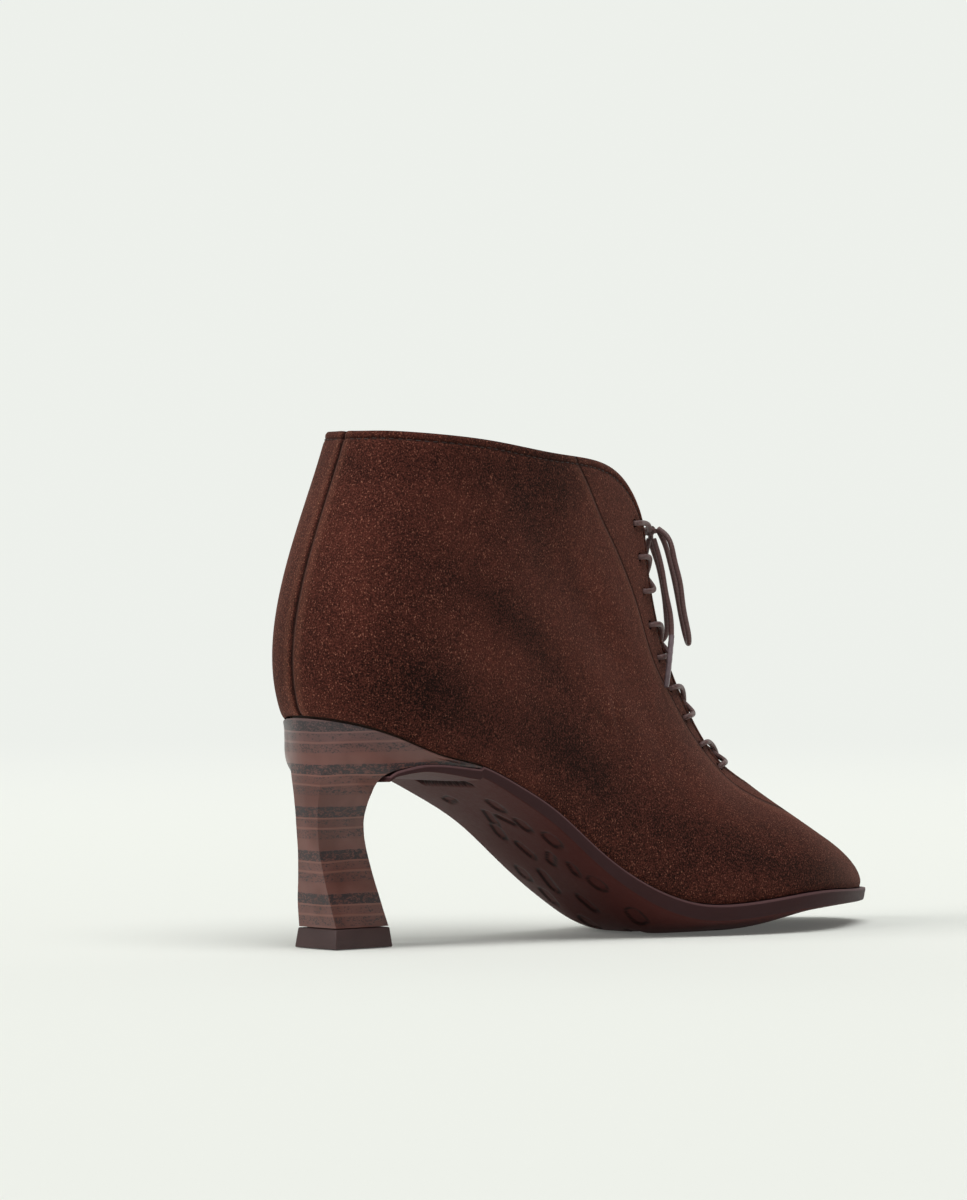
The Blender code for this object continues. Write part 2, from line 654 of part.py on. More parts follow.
def sole_half(places, side):
    """Rows of points across one half of the sole, from the top's middle to the tread's."""
    feather, outward = LAST.feather(places, side)
    x, _y, z = feather.T
    edge, crown, ledge = sole_columns(x)
    under_heel = x < wing_tip_x() + 0.2 * MM
    top = np.where(under_heel, wing_height(x) - CLEARANCE, z)
    edge = np.where(x < wing_tip_x(), np.maximum(edge, SOLE_REAR_THICKNESS), edge)
    rim = feather + outward * ledge[:, None]
    rim[:, 2] = top
    foot = rim + outward * (-SOLE_TUCK * edge)[:, None]
    foot[:, 2] = top - edge
    spine_x = np.minimum(x, along(SPINE_END))
    spine_y = spine_places(places)
    middle = tread_height(x, foot[:, 2], crown)
    layers = [np.stack([spine_x, spine_y, top], axis=1), rim - outward * SOLE_BEVEL,
              rim - np.array([0.0, 0.0, SOLE_BEVEL]), foot]
    for share in TREAD_SHARES:
        shape = max(share - FLAT_HALF_WIDTH_SHARE, 0.0) / (1.0 - FLAT_HALF_WIDTH_SHARE)
        height = middle + (foot[:, 2] - middle) * shape ** TREAD_ROUND
        layers.append(np.stack([spine_x + (foot[:, 0] - spine_x) * share,
                                spine_y + (foot[:, 1] - spine_y) * share, height], axis=1))
    return np.stack(layers, axis=1)


def spine_places(places):
    """World y of the sole's middle line, halfway between the feather line's two sides."""
    lateral, _outward = LAST.feather(places, LATERAL)
    medial, _outward = LAST.feather(places, MEDIAL)
    return 0.5 * (lateral[:, 1] + medial[:, 1])


def make_outsole():
    """The moulded sole: ledge, side wall, crowned tread and the slope up to the heel."""
    build = bmesh.new()
    rear = HEEL_ROWS[-3][0] * TIP_LENGTH + CLEARANCE
    wing_u = place_of_x(wing_tip_x())
    rear_u = place_of_x(rear + SOLE_REAR_INSET)
    inner = [u for u in section_places() if u < rear_u - 1.5 * SOLE_REAR_INSET]
    places = np.array(sorted({*inner, wing_u, rear_u}))
    halves = [sole_half(places, side) for side in (LATERAL, MEDIAL)]
    for half in halves:
        loft(build, half, closed=False)
    ring = [build.verts.new(Vector(point)) for point in halves[0][-1]]
    ring += [build.verts.new(Vector(point)) for point in halves[1][-1][-2:0:-1]]
    build.faces.new(ring)
    add_object("outsole", finish_mesh(build, "outsole", merge=2e-5), "sole_rubber")


def place_of_x(x):
    """Place u whose feather point has a world x."""
    u = np.linspace(0.0, LAST.length, 1200)
    foot_x = LAST.foot_x(u)
    return float(np.interp(-x, -foot_x, u))


def heel_side(side):
    """Rows of points up one side of the heel, from its front edge to its back."""
    seat_places = np.linspace(place_of_x(wing_tip_x()), LAST.length, HEEL_COLUMN_COUNT)
    seat, _outward = LAST.feather(seat_places, side)
    seat[:, 2] -= CLEARANCE
    corner_index = int(np.argmin(np.abs(seat[:, 0] - HEEL_ROWS[-1][3] * TIP_LENGTH)))
    run = np.concatenate([[0.0], np.cumsum(np.linalg.norm(np.diff(seat[:, :2], axis=0), axis=1))])
    shares = run / run[corner_index]
    rest = run[corner_index:] - run[corner_index]
    shares[corner_index:] = 1.0 + rest / rest[-1]

    def facets(edge, corner, back):
        points = []
        for share in shares:
            if share <= 1.0:
                points.append(edge + (corner - edge) * share)
            else:
                points.append(corner + (back - corner) * (share - 1.0))
        return np.array(points)

    flat_seat = facets(seat[0], seat[corner_index], seat[-1])
    swell = seat - flat_seat
    seat_side = np.linalg.norm(seat[corner_index, :2] - seat[0, :2])
    inset = TIP_INSET + CLEARANCE
    foot_z = TIP_HEIGHT + CLEARANCE
    foot_edge = np.array([0.5 * TIP_LENGTH - inset, side * (0.5 * TIP_FRONT_WIDTH - inset), foot_z])
    foot_corner = np.array([inset - 0.5 * TIP_LENGTH, side * (0.5 * TIP_BACK_WIDTH - inset), foot_z])
    foot_back = np.array([foot_corner[0], 0.0, foot_z])
    rows = [facets(foot_edge, foot_corner, foot_back)]
    for row in HEEL_ROWS:
        value = dict(zip(HEEL_COLUMNS, row))
        edge = np.array([value["edge_x"] * TIP_LENGTH, side * value["edge_half"] * HEEL_NECK_WIDTH,
                         value["edge_z"] * HEEL_HEIGHT])
        back = np.array([value["back_x"] * TIP_LENGTH, 0.0, value["back_z"] * HEEL_HEIGHT])
        corner_share = (value["corner_x"] - value["edge_x"]) / (value["back_x"] - value["edge_x"])
        corner = np.array([value["corner_x"] * TIP_LENGTH, side * value["corner_half"] * HEEL_NECK_WIDTH,
                           edge[2] + (back[2] - edge[2]) * corner_share])
        own_side = np.linalg.norm(corner[:2] - edge[:2]) / seat_side
        scale = np.where(shares < 1.0, own_side, corner[1] / seat[corner_index, 1])
        rows.append(facets(edge, corner, back) + swell * (value["round"] * scale)[:, None])
    blade = rows[-1].copy()
    wing = seat.copy()
    wing[0, 2] = seat[0, 2] - WING_EDGE + CLEARANCE
    rows.append(np.concatenate([wing[:1], seat[1:]]) * 0.5 + 0.5 * blade)
    rows[-1][0] = wing[0]
    rows.append(seat)
    return rows


def make_heel():
    """The heel block: a faceted stem that swells into a cup with two wings."""
    build = bmesh.new()
    lateral = heel_side(LATERAL)
    medial = heel_side(MEDIAL)
    rows = loft(build, [np.concatenate([left, right[-2::-1]]) for left, right in zip(lateral, medial)])
    cap(build, rows[0])
    cap(build, rows[-1])
    add_object("heel", finish_mesh(build, "heel", merge=1e-5), "stacked_heel")


def make_heel_tip():
    """The top piece under the heel, a little wider at its foot."""
    build = bmesh.new()
    levels = ((0.0, TIP_FOOT_INSET), (TIP_BEVEL, 0.0), (TIP_HEIGHT - TIP_BEVEL, TIP_INSET),
              (TIP_HEIGHT, TIP_INSET + CLEARANCE))
    rings = []
    for z, inset in levels:
        half = 0.5 * TIP_LENGTH - inset
        back = 0.5 * TIP_BACK_WIDTH - inset
        front = 0.5 * TIP_FRONT_WIDTH - inset
        rings.append([(half, -front, z), (half, front, z), (-half, back, z), (-half, -back, z)])
    closed_loft(build, rings)
    add_object("heel_tip", finish_mesh(build, "heel_tip"), "tip_rubber")


def make_insole():
    """The insole board, following the sole inside the upper's wall."""
    build = bmesh.new()
    places = section_places()
    inset = WALL + 3.0 * CLEARANCE
    low = CLEARANCE
    high = CLEARANCE + INSOLE_THICKNESS
    for side in (LATERAL, MEDIAL):
        feather, outward = LAST.feather(places, side)
        rim = feather - outward * inset
        spine = np.stack([np.clip(feather[:, 0], along(SPINE_START), along(SPINE_END)),
                          spine_places(places), feather[:, 2]], axis=1)
        layers = []
        for points, lift in ((spine, low), (rim, low), (rim - outward * INSOLE_BEVEL, high), (spine, high)):
            points = points.copy()
            points[:, 2] = feather_height(points[:, 0]) + lift
            layers.append(points)
        loft(build, np.stack(layers, axis=1), closed=False)
    add_object("insole", finish_mesh(build, "insole", merge=2e-5), "lining")


def tongue_ring(u, depth_out, depth_in):
    """One closed section of the tongue across the throat."""
    rings = []
    for depth in (depth_out, depth_in):
        arms = []
        for side in (LATERAL, MEDIAL):
            edge = LAST.top(np.array([u]), side)[0]
            low = LAST.skin(np.array([u]), np.array([0.0]), side)[0, 0]
            size = float(np.linalg.norm(edge - low))
            v = 1.0 - np.array([TONGUE_LAP, 0.55 * TONGUE_LAP]) / size
            points, normals = LAST.inside(np.array([u]), v, side, depth)
            edge_point, edge_normal = LAST.inside(np.array([u]), np.array([1.0]), side, 0.0)
            arms.append((points[0], edge_point[0, 0], edge_normal[0, 0]))
        (outer, edge_a, normal_a), (inner, edge_b, normal_b) = arms
        middle = 0.5 * (edge_a + edge_b)
        ahead = normal_a + normal_b
        ahead = ahead / np.linalg.norm(ahead)
        sine = max(float(np.dot(normal_a, ahead)), 0.35)
        spread = 0.5 * float(np.linalg.norm(edge_b - edge_a))
        slope = math.sqrt(1.0 - sine * sine)
        reach = min(spread, TONGUE_SPREAD_LIMIT) * slope / sine - depth / sine
        apex = middle + ahead * (reach - TONGUE_DROP)
        shoulder_a = 0.5 * (outer[1] + apex) + ahead * TONGUE_SHOULDER
        shoulder_b = 0.5 * (inner[1] + apex) + ahead * TONGUE_SHOULDER
        rings.append([outer[0], outer[1], shoulder_a, apex, shoulder_b, inner[1], inner[0]])
    return rings[0] + rings[1][::-1]


def make_tongue():
    """The plain tongue behind the throat, clear of the facings by the clearance."""
    build = bmesh.new()
    start = LAST.throat - TONGUE_BELOW_THROAT
    end = LAST.knots[COLLAR_ROW - 1]
    places = np.linspace(start, end, TONGUE_STEPS)
    depth = WALL + 1.6 * CLEARANCE
    rings = [tongue_ring(float(u), depth, depth + TONGUE_THICKNESS) for u in places]
    rows = loft(build, rings)
    cap(build, rows[0])
    cap(build, rows[-1])
    add_object("tongue", finish_mesh(build, "tongue"), "lining")


def tube(build, points, radius, sides=CORD_SIDES):
    """A round bar through points, closed at both ends."""
    points = [Vector(p) for p in points]
    rings = []
    normal = Vector((0.0, 0.0, 1.0))
    for index, point in enumerate(points):
        ahead = points[min(index + 1, len(points) - 1)] - points[max(index - 1, 0)]
        ahead.normalize()
        normal = (normal - ahead * normal.dot(ahead)).normalized()
        side = ahead.cross(normal)
        ring = []
        for step in range(sides):
            angle = 2.0 * math.pi * step / sides
            ring.append(point + radius * (math.cos(angle) * normal + math.sin(angle) * side))
        rings.append(ring)
    closed_loft(build, rings)


def crossing_points(low_row, high_row, spots, start_side):
    """Route of one run of lace over the throat, from one row's hole to the next row's."""
    lift = 0.5 * LACE_DIAMETER + 2.0 * CLEARANCE
    first = spots[low_row][0 if start_side == LATERAL else 1]
    last = spots[high_row][1 if start_side == LATERAL else 0]
    edges = lace_holes()
    x0, y0, z0 = edges[low_row]
    x1, y1, z1 = edges[high_row]
    ahead = (first[1] + last[1]).normalized()
    middle = Vector((0.5 * (x0 + x1), 0.0, 0.5 * (z0 + z1))) + ahead * (lift + 0.4 * LACE_DIAMETER)
    near = Vector((x0, start_side * abs(y0), z0)).lerp(middle, 0.15) + first[1] * (lift + CLEARANCE)
    far = Vector((x1, -start_side * abs(y1), z1)).lerp(middle, 0.15) + last[1] * (lift + CLEARANCE)
    return [first[0] + first[1] * lift, near, middle, far, last[0] + last[1] * lift]


def make_lacing(tree):
    """The outer runs of the lace: a crossing in every other gap between the rows."""
    spots = hole_spots(tree)
    for count, low in enumerate(range(0, LACE_ROWS - 1, 2)):
        name = f"lace_crossing_{count + 1}"
        meshes = []
        for side in (LATERAL, MEDIAL):
            build = bmesh.new()
            tube(build, crossing_points(low, low + 1, spots, side), 0.5 * LACE_DIAMETER)
            meshes.append(finish_mesh(build, name))
        under = add_object(name, meshes[0], "waxed_cord")
        join = under.modifiers.new("join", "BOOLEAN")
        join.operation = "UNION"
        join.object = add_helper(name + "_over", meshes[1])


def knot_place():
    """Middle of the bow's knot, ahead of the throat at the top holes."""
    x, _y, z = lace_holes()[-1]
    return Vector((x + KNOT_AHEAD, 0.0, z - KNOT_BELOW))


def bow_route(points, side):
    """World points of a hanging run of the bow on one side."""
    knot = knot_place()
    return [knot + Vector((ahead, side * out, -down)) for ahead, out, down in points]


def smooth_route(points, spacing):
    """Points at a spacing along one smooth curve through a route's own points."""
    points = np.array([tuple(p) for p in points])
    run = np.concatenate([[0.0], np.cumsum(np.linalg.norm(np.diff(points, axis=0), axis=1))])
    curve = Curve(run, points)
    count = max(int(round(run[-1] / spacing)), 4)
    return curve(np.linspace(0.0, run[-1], count + 1))


def make_cord(name, points, diameter, finish):
    """A cord as a curve with a round bevel and closed ends."""
    route = smooth_route(points, 1.2 * LACE_DIAMETER)
    data = bpy.data.curves.new(name, "CURVE")
    data.dimensions = "3D"
    data.bevel_depth = 0.5 * diameter
    data.bevel_resolution = 2
    data.use_fill_caps = True
    spline = data.splines.new("POLY")
    spline.points.add(len(route) - 1)
    for point, place in zip(spline.points, route):
        point.co = (*place, 1.0)
    add_object(name, data, finish)


def make_bow():
    """The knot, two loops, two ends and their aglets."""
    build = bmesh.new()
    bmesh.ops.create_icosphere(build, subdivisions=2, radius=0.5 * KNOT_SIZE)
    for vert in build.verts:
        vert.co.x *= 0.72
        vert.co.z *= 0.80
    bmesh.ops.translate(build, verts=build.verts, vec=knot_place())
    add_object("lace_knot", finish_mesh(build, "lace_knot"), "waxed_cord")
    for side, word in ((LATERAL, "lateral"), (MEDIAL, "medial")):
        make_cord(f"lace_loop_{word}", bow_route(LOOP_POINTS, side), LACE_DIAMETER, "waxed_cord")
        make_cord(f"lace_end_{word}", bow_route(END_POINTS, side), LACE_DIAMETER, "waxed_cord")
        make_cord(f"aglet_{word}", bow_route(AGLET_POINTS, side), AGLET_DIAMETER, "aglet_film")


def zip_strip(tree, width, depths, low, high):
    """Closed rings of a strip along the zip between two depths under the surface."""
    outer, inner = depths
    rings = []
    for share in np.linspace(low, high, COIL_STEPS):
        spot, normal = zip_line(tree, float(share))
        side, _n = zip_line(tree, float(share), 0.5 * MM)
        across = (side - spot).normalized()
        ring = []
        for offset, depth in ((-0.5, outer), (0.5, outer), (0.5, inner), (-0.5, inner)):
            ring.append(spot + across * offset * width - normal * depth)
        rings.append(ring)
    return rings


def make_zip(tree):
    """Tape, coil, slider and the hinged pull of the medial zip."""
    top = collar_share(tree, ZIP_BELOW_COLLAR, 0.5 * ZIP_TAPE_WIDTH)
    build = bmesh.new()
    depth = WALL + 2.0 * CLEARANCE
    closed_loft(build, bent_tape(tree, depth, depth + ZIP_TAPE_THICKNESS, TAPE_FOOT, top))
    add_object("zip_tape", finish_mesh(build, "zip_tape"), "zip_cloth")
    build = bmesh.new()
    face = depth - CLEARANCE
    closed_loft(build, zip_strip(tree, ZIP_COIL_WIDTH, (face - ZIP_COIL_THICKNESS, face), COIL_FOOT, top))
    add_object("zip_coil", finish_mesh(build, "zip_coil"), "zip_cloth")
    make_slider(tree, face - ZIP_COIL_THICKNESS)


def bent_tape(tree, outer, inner, low, high):
    """Rings of the tape, curved with the wall it lies behind."""
    rings = []
    offsets = np.linspace(-0.5, 0.5, 5) * ZIP_TAPE_WIDTH
    for share in np.linspace(low, high, TAPE_STEPS):
        front = []
        back = []
        for offset in offsets:
            spot, normal = zip_line(tree, float(share), float(offset))
            front.append(spot - normal * outer)
            back.append(spot - normal * inner)
        rings.append(front + back[::-1])
    return rings


def slider_frame(tree):
    """Middle of the slider on the surface, with its across, up and outward directions."""
    share = collar_share(tree, SLIDER_BELOW_COLLAR)
    spot, normal = zip_line(tree, share)
    above, _n = zip_line(tree, share + 0.01)
    up = (above - spot).normalized()
    across = up.cross(normal).normalized()
    normal = across.cross(up).normalized()
    return spot, across, up, normal


def block(build, spot, axes, size, shift):
    """A box with chamfered edges in a local frame."""
    across, up, out = axes
    corner = 0.16 * min(size)
    step = corner / size[2]
    rings = []
    for z, inset in ((-0.5, corner), (-0.5 + step, 0.0), (0.5 - step, 0.0), (0.5, corner)):
        ring = []
        for sx, sy in ((-1, -1), (1, -1), (1, 1), (-1, 1)):
            x = sx * (0.5 * size[0] - inset) + shift[0]
            y = sy * (0.5 * size[1] - inset) + shift[1]
            ring.append(spot + across * x + up * y + out * (z * size[2] + shift[2]))
        rings.append(ring)
    closed_loft(build, rings)


def make_slider(tree, coil_face):
    """The slider on the coil with its bridge, and the pull that hangs from the bridge."""
    spot, across, up, out = slider_frame(tree)
    axes = (across, up, out)
    base = -coil_face + CLEARANCE
    build = bmesh.new()
    body = (SLIDER_WIDTH - SLIDER_SIDE_ROOM, SLIDER_LENGTH, SLIDER_THICKNESS)
    block(build, spot, axes, body, (0.0, 0.0, base + 0.5 * SLIDER_THICKNESS))
    slider = add_object("zip_slider", finish_mesh(build, "zip_slider"), "zip_metal")
    bridge = bmesh.new()
    face = base + SLIDER_THICKNESS
    closed_loft(bridge, [[spot + across * x + up * (y * MM) + out * (face + z * MM)
                          for y, z in BRIDGE_OUTLINE]
                         for x in (-0.5 * BRIDGE_WIDTH, 0.5 * BRIDGE_WIDTH)])
    join = slider.modifiers.new("join", "BOOLEAN")
    join.operation = "UNION"
    join.object = add_helper("slider_bridge", finish_mesh(bridge, "slider_bridge"))
    make_pull(spot, axes, face + 0.5 * BRIDGE_EYE)


def make_pull(spot, axes, eye_height):
    """The pull tab: a flat frame round the bridge that hangs down from it."""
    across, up, out = axes
    hinge = spot + out * eye_height
    half = 0.5 * PULL_WIDTH
    thick = 0.5 * PULL_THICKNESS
    eye = PULL_EYE_HALF_WIDTH
    low = -PULL_LENGTH
    frame = ((-half, thick), (half, thick), (half, low + PULL_CORNER), (half - PULL_CORNER, low),
             (-half + PULL_CORNER, low), (-half, low + PULL_CORNER))
    window = ((-eye, -thick), (eye, -thick), (eye, PULL_EYE_CORNER - PULL_EYE_LENGTH),
              (0.6 * eye, -PULL_EYE_LENGTH), (-0.6 * eye, -PULL_EYE_LENGTH),
              (-eye, PULL_EYE_CORNER - PULL_EYE_LENGTH))
    walls = ((frame, -thick), (frame, thick), (window, thick), (window, -thick), (frame, -thick))
    build = bmesh.new()
    loft(build, [[hinge + across * x + up * y + out * depth for x, y in outline]
                 for outline, depth in walls])
    add_object("zip_pull", finish_mesh(build, "zip_pull"), "zip_metal")


def clear_scene():
    """Remove what the scene starts with."""
    for thing in list(bpy.data.objects):
        bpy.data.objects.remove(thing, do_unlink=True)


def build_boot():
    """Make every piece of the boot."""
    clear_scene()
    tree = skin_tree()
    make_upper(tree)
    make_outsole()
    make_heel()
    make_heel_tip()
    make_insole()
    make_tongue()
    make_lacing(tree)
    make_bow()
    make_zip(tree)


build_boot()
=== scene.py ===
"""A right-foot suede ankle boot with a front lacing, an inner zip and a flared heel.

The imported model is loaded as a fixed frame, and every visible piece is made over it: the
suede upper, the moulded sole, the stacked heel, the lace with its bow, and the zip. Lengths
are in metres, +X points to the toe, -Y to the lateral side and +Z up.
"""

import json
import logging
import math
from dataclasses import dataclass
from enum import Enum
from typing import Callable, Iterable, Sequence

import bmesh
import bpy
import numpy as np
from mathutils import Matrix, Vector
from mathutils.bvhtree import BVHTree

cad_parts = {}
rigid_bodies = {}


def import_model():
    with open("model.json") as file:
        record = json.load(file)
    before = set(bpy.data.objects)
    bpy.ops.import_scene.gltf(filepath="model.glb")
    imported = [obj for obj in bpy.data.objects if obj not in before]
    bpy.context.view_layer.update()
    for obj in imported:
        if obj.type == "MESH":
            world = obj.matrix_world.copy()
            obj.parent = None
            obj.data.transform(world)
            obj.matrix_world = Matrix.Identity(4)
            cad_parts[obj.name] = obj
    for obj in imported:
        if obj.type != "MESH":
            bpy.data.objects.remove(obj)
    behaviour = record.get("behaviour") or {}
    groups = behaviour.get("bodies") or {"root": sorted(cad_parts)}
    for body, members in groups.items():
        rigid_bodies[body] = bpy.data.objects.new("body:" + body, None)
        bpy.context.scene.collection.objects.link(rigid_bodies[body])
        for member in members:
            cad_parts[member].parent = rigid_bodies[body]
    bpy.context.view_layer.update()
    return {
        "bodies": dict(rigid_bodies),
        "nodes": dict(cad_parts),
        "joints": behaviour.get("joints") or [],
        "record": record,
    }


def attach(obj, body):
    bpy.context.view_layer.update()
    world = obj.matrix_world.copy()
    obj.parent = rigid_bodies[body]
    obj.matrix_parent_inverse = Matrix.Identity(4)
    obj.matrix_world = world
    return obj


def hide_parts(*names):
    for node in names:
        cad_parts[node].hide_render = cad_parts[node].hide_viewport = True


MM = 0.001
LOG = logging.getLogger("boot")
Point = tuple[float, float, float]
Array = np.ndarray
Material = bpy.types.Material
Socket = bpy.types.NodeSocket
Placed = bpy.types.Object
Build = bmesh.types.BMesh
Mesh = bpy.types.Mesh

# The last's sections from the middle of the toe to the middle of the back: lengths are
# shares of the last's named sizes, angles are in degrees.
SECTION_COLUMNS = ("foot_x", "outer", "inner", "top_x", "top_z", "ridge", "gap",
                   "lean", "foot_pull", "aim", "dip", "top_pull")
SECTIONS = (
    (1.000, 0.108, 0.108, 0.972, 0.129, 0.095, 0.000, -2, 0.46, -90, 40, 0.36),
    (0.996, 0.024, 0.190, 0.963, 0.138, 0.090, 0.000, -2, 0.45, -62, 31, 0.35),
    (0.978, -0.062, 0.252, 0.951, 0.149, 0.082, 0.000, -2, 0.44, -36, 22, 0.33),
    (0.946, -0.160, 0.308, 0.930, 0.168, 0.071, 0.000, 0, 0.42, -16, 15, 0.31),
    (0.906, -0.262, 0.378, 0.901, 0.192, 0.055, 0.000, 2, 0.40, -6, 12, 0.29),
    (0.854, -0.370, 0.446, 0.862, 0.222, 0.036, 0.000, 4, 0.38, 0, 13, 0.29),
    (0.792, -0.460, 0.493, 0.816, 0.262, 0.014, 0.000, 5, 0.37, 6, 16, 0.30),
    (0.732, -0.499, 0.503, 0.773, 0.300, 0.000, 0.000, 5, 0.36, 16, 23, 0.31),
    (0.677, -0.500, 0.486, 0.717, 0.348, 0.000, 0.037, 4, 0.36, 27, 36, 0.33),
    (0.617, -0.476, 0.443, 0.666, 0.441, 0.000, 0.043, 3, 0.35, 37, 49, 0.34),
    (0.558, -0.436, 0.386, 0.627, 0.542, 0.000, 0.052, 2, 0.34, 43, 58, 0.35),
    (0.497, -0.399, 0.335, 0.602, 0.638, 0.000, 0.060, 1, 0.33, 47, 62, 0.34),
    (0.438, -0.373, 0.304, 0.585, 0.741, 0.000, 0.070, 0, 0.33, 50, 64, 0.34),
    (0.374, -0.361, 0.295, 0.570, 0.834, 0.000, 0.096, 0, 0.33, 53, 64, 0.34),
    (0.306, -0.362, 0.308, 0.517, 0.912, 0.000, 0.194, 0, 0.32, 58, 64, 0.34),
    (0.237, -0.369, 0.335, 0.434, 0.948, 0.000, 0.343, 2, 0.31, 68, 65, 0.34),
    (0.169, -0.368, 0.351, 0.332, 0.961, 0.000, 0.463, 5, 0.31, 80, 67, 0.34),
    (0.110, -0.349, 0.342, 0.229, 0.981, 0.000, 0.496, 10, 0.31, 86, 71, 0.33),
    (0.062, -0.296, 0.296, 0.148, 0.993, 0.000, 0.440, 16, 0.32, 84, 74, 0.31),
    (0.029, -0.218, 0.218, 0.101, 0.999, 0.000, 0.302, 21, 0.32, 80, 74, 0.30),
    (0.008, -0.118, 0.118, 0.081, 1.000, 0.000, 0.160, 23, 0.32, 84, 73, 0.29),
    (0.000, 0.000, 0.000, 0.075, 1.000, 0.000, 0.000, 23, 0.32, 90, 72, 0.29),
)
PROFILE_COLUMNS = ("at", "lift", "spring")
PROFILE = (
    (0.000, 1.000, 0.00), (0.029, 0.970, 0.00), (0.082, 0.898, 0.00), (0.138, 0.812, 0.00),
    (0.205, 0.752, 0.00), (0.271, 0.648, 0.00), (0.342, 0.500, 0.00), (0.399, 0.334, 0.00),
    (0.450, 0.196, 0.00), (0.518, 0.062, 0.00), (0.568, 0.008, 0.00), (0.616, 0.000, 0.00),
    (0.688, 0.000, 0.14), (0.773, 0.000, 0.30), (0.870, 0.000, 0.24), (1.000, 0.000, 0.10),
)
SOLE_COLUMNS = ("at", "edge", "crown", "ledge")
SOLE_SHAPE = (
    (0.082, 0.35, 0.04, 0.0), (0.205, 0.70, 0.08, 0.0), (0.342, 0.98, 0.16, 0.1),
    (0.450, 1.02, 0.28, 0.3), (0.532, 1.08, 0.44, 0.6), (0.616, 1.08, 0.50, 0.9),
    (0.688, 1.06, 0.50, 1.0), (0.773, 1.04, 0.40, 1.0), (0.880, 0.92, 0.20, 1.0),
    (0.960, 0.82, 0.08, 1.1), (1.010, 0.78, 0.02, 1.2),
)
HEEL_COLUMNS = ("edge_x", "edge_half", "edge_z", "corner_x", "corner_half", "back_x", "back_z", "round")
HEEL_ROWS = (
    (0.325, 0.620, 0.200, -0.520, 0.640, -0.528, 0.200, 0.00),
    (0.210, 0.580, 0.315, -0.566, 0.510, -0.574, 0.315, 0.00),
    (0.105, 0.550, 0.440, -0.612, 0.420, -0.620, 0.445, 0.02),
    (0.050, 0.600, 0.540, -0.635, 0.430, -0.648, 0.555, 0.10),
    (0.025, 0.800, 0.620, -0.643, 0.490, -0.668, 0.655, 0.22),
    (-0.040, 1.180, 0.686, -0.642, 0.590, -0.688, 0.745, 0.44),
    (-0.110, 1.640, 0.738, -0.636, 0.660, -0.706, 0.820, 0.66),
    (0.060, 1.930, 0.776, -0.630, 0.720, -0.722, 0.885, 0.84),
    (0.500, 2.130, 0.800, -0.628, 0.765, -0.738, 0.945, 0.96),
)
# The seam between the side and the front panel, from the collar to the toe: x, height.
FACING_SEAM = ((69.5, 151.5), (73.2, 146.4), (79.2, 139.4), (87.5, 128.9), (95.2, 120.5),
               (102.2, 111.3), (108.4, 101.4), (112.6, 92.0), (115.6, 85.4), (120.8, 78.2),
               (126.2, 71.6), (131.0, 64.6), (136.8, 57.8), (142.8, 51.6), (149.2, 45.4),
               (157.0, 40.8), (165.6, 37.6), (173.4, 36.4), (181.0, 36.8))
# The bow's runs: beyond the knot, out to the side and below the knot, in metres.
LOOP_POINTS = (
    (0.0012, 0.0026, -0.0006), (0.0020, 0.0058, 0.0018), (0.0026, 0.0086, 0.0092),
    (0.0036, 0.0100, 0.0160), (0.0044, 0.0106, 0.0235), (0.0058, 0.0106, 0.0290),
    (0.0074, 0.0100, 0.0334), (0.0094, 0.0076, 0.0354), (0.0108, 0.0050, 0.0336),
    (0.0104, 0.0036, 0.0284), (0.0094, 0.0032, 0.0230), (0.0078, 0.0030, 0.0160),
    (0.0056, 0.0030, 0.0092), (0.0032, 0.0030, 0.0034), (0.0020, 0.0018, 0.0000),
)
END_POINTS = (
    (0.0006, 0.0011, 0.0026), (0.0008, 0.0026, 0.0064), (0.0012, 0.0045, 0.0130),
    (0.0016, 0.0058, 0.0200), (0.0022, 0.0070, 0.0260), (0.0020, 0.0078, 0.0310),
    (0.0016, 0.0082, 0.0335),
)
AGLET_POINTS = ((0.0017, 0.0082, 0.0329), (-0.0013, 0.0104, 0.0411), (-0.0042, 0.0122, 0.0489))


class Side(Enum):
    """The two sides of the boot, by the sign of their y."""

    LATERAL = -1
    MEDIAL = 1


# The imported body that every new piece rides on: the pull's own node is dressed in place.
BODY = "boot"


class Slot(Enum):
    """The record's material slots."""

    SUEDE = "suede"
    LINING = "lining"
    SOLE = "sole_rubber"
    HEEL = "stacked_heel"
    TIP = "tip_rubber"
    CORD = "waxed_cord"
    AGLET = "aglet_film"
    CLOTH = "zip_cloth"
    METAL = "zip_metal"


def linear(*screen: int) -> Point:
    """Linear colour of a screen colour's red, green and blue, each from 0 to 255."""
    shares = (value / 255.0 for value in screen)
    return tuple(share / 12.92 if share <= 0.04045 else ((share + 0.055) / 1.055) ** 2.4
                 for share in shares)


def column(table: Sequence[Sequence[float]], names: Sequence[str], name: str) -> Array:
    """One named column of a table of rows."""
    return np.array([row[names.index(name)] for row in table], dtype=float)


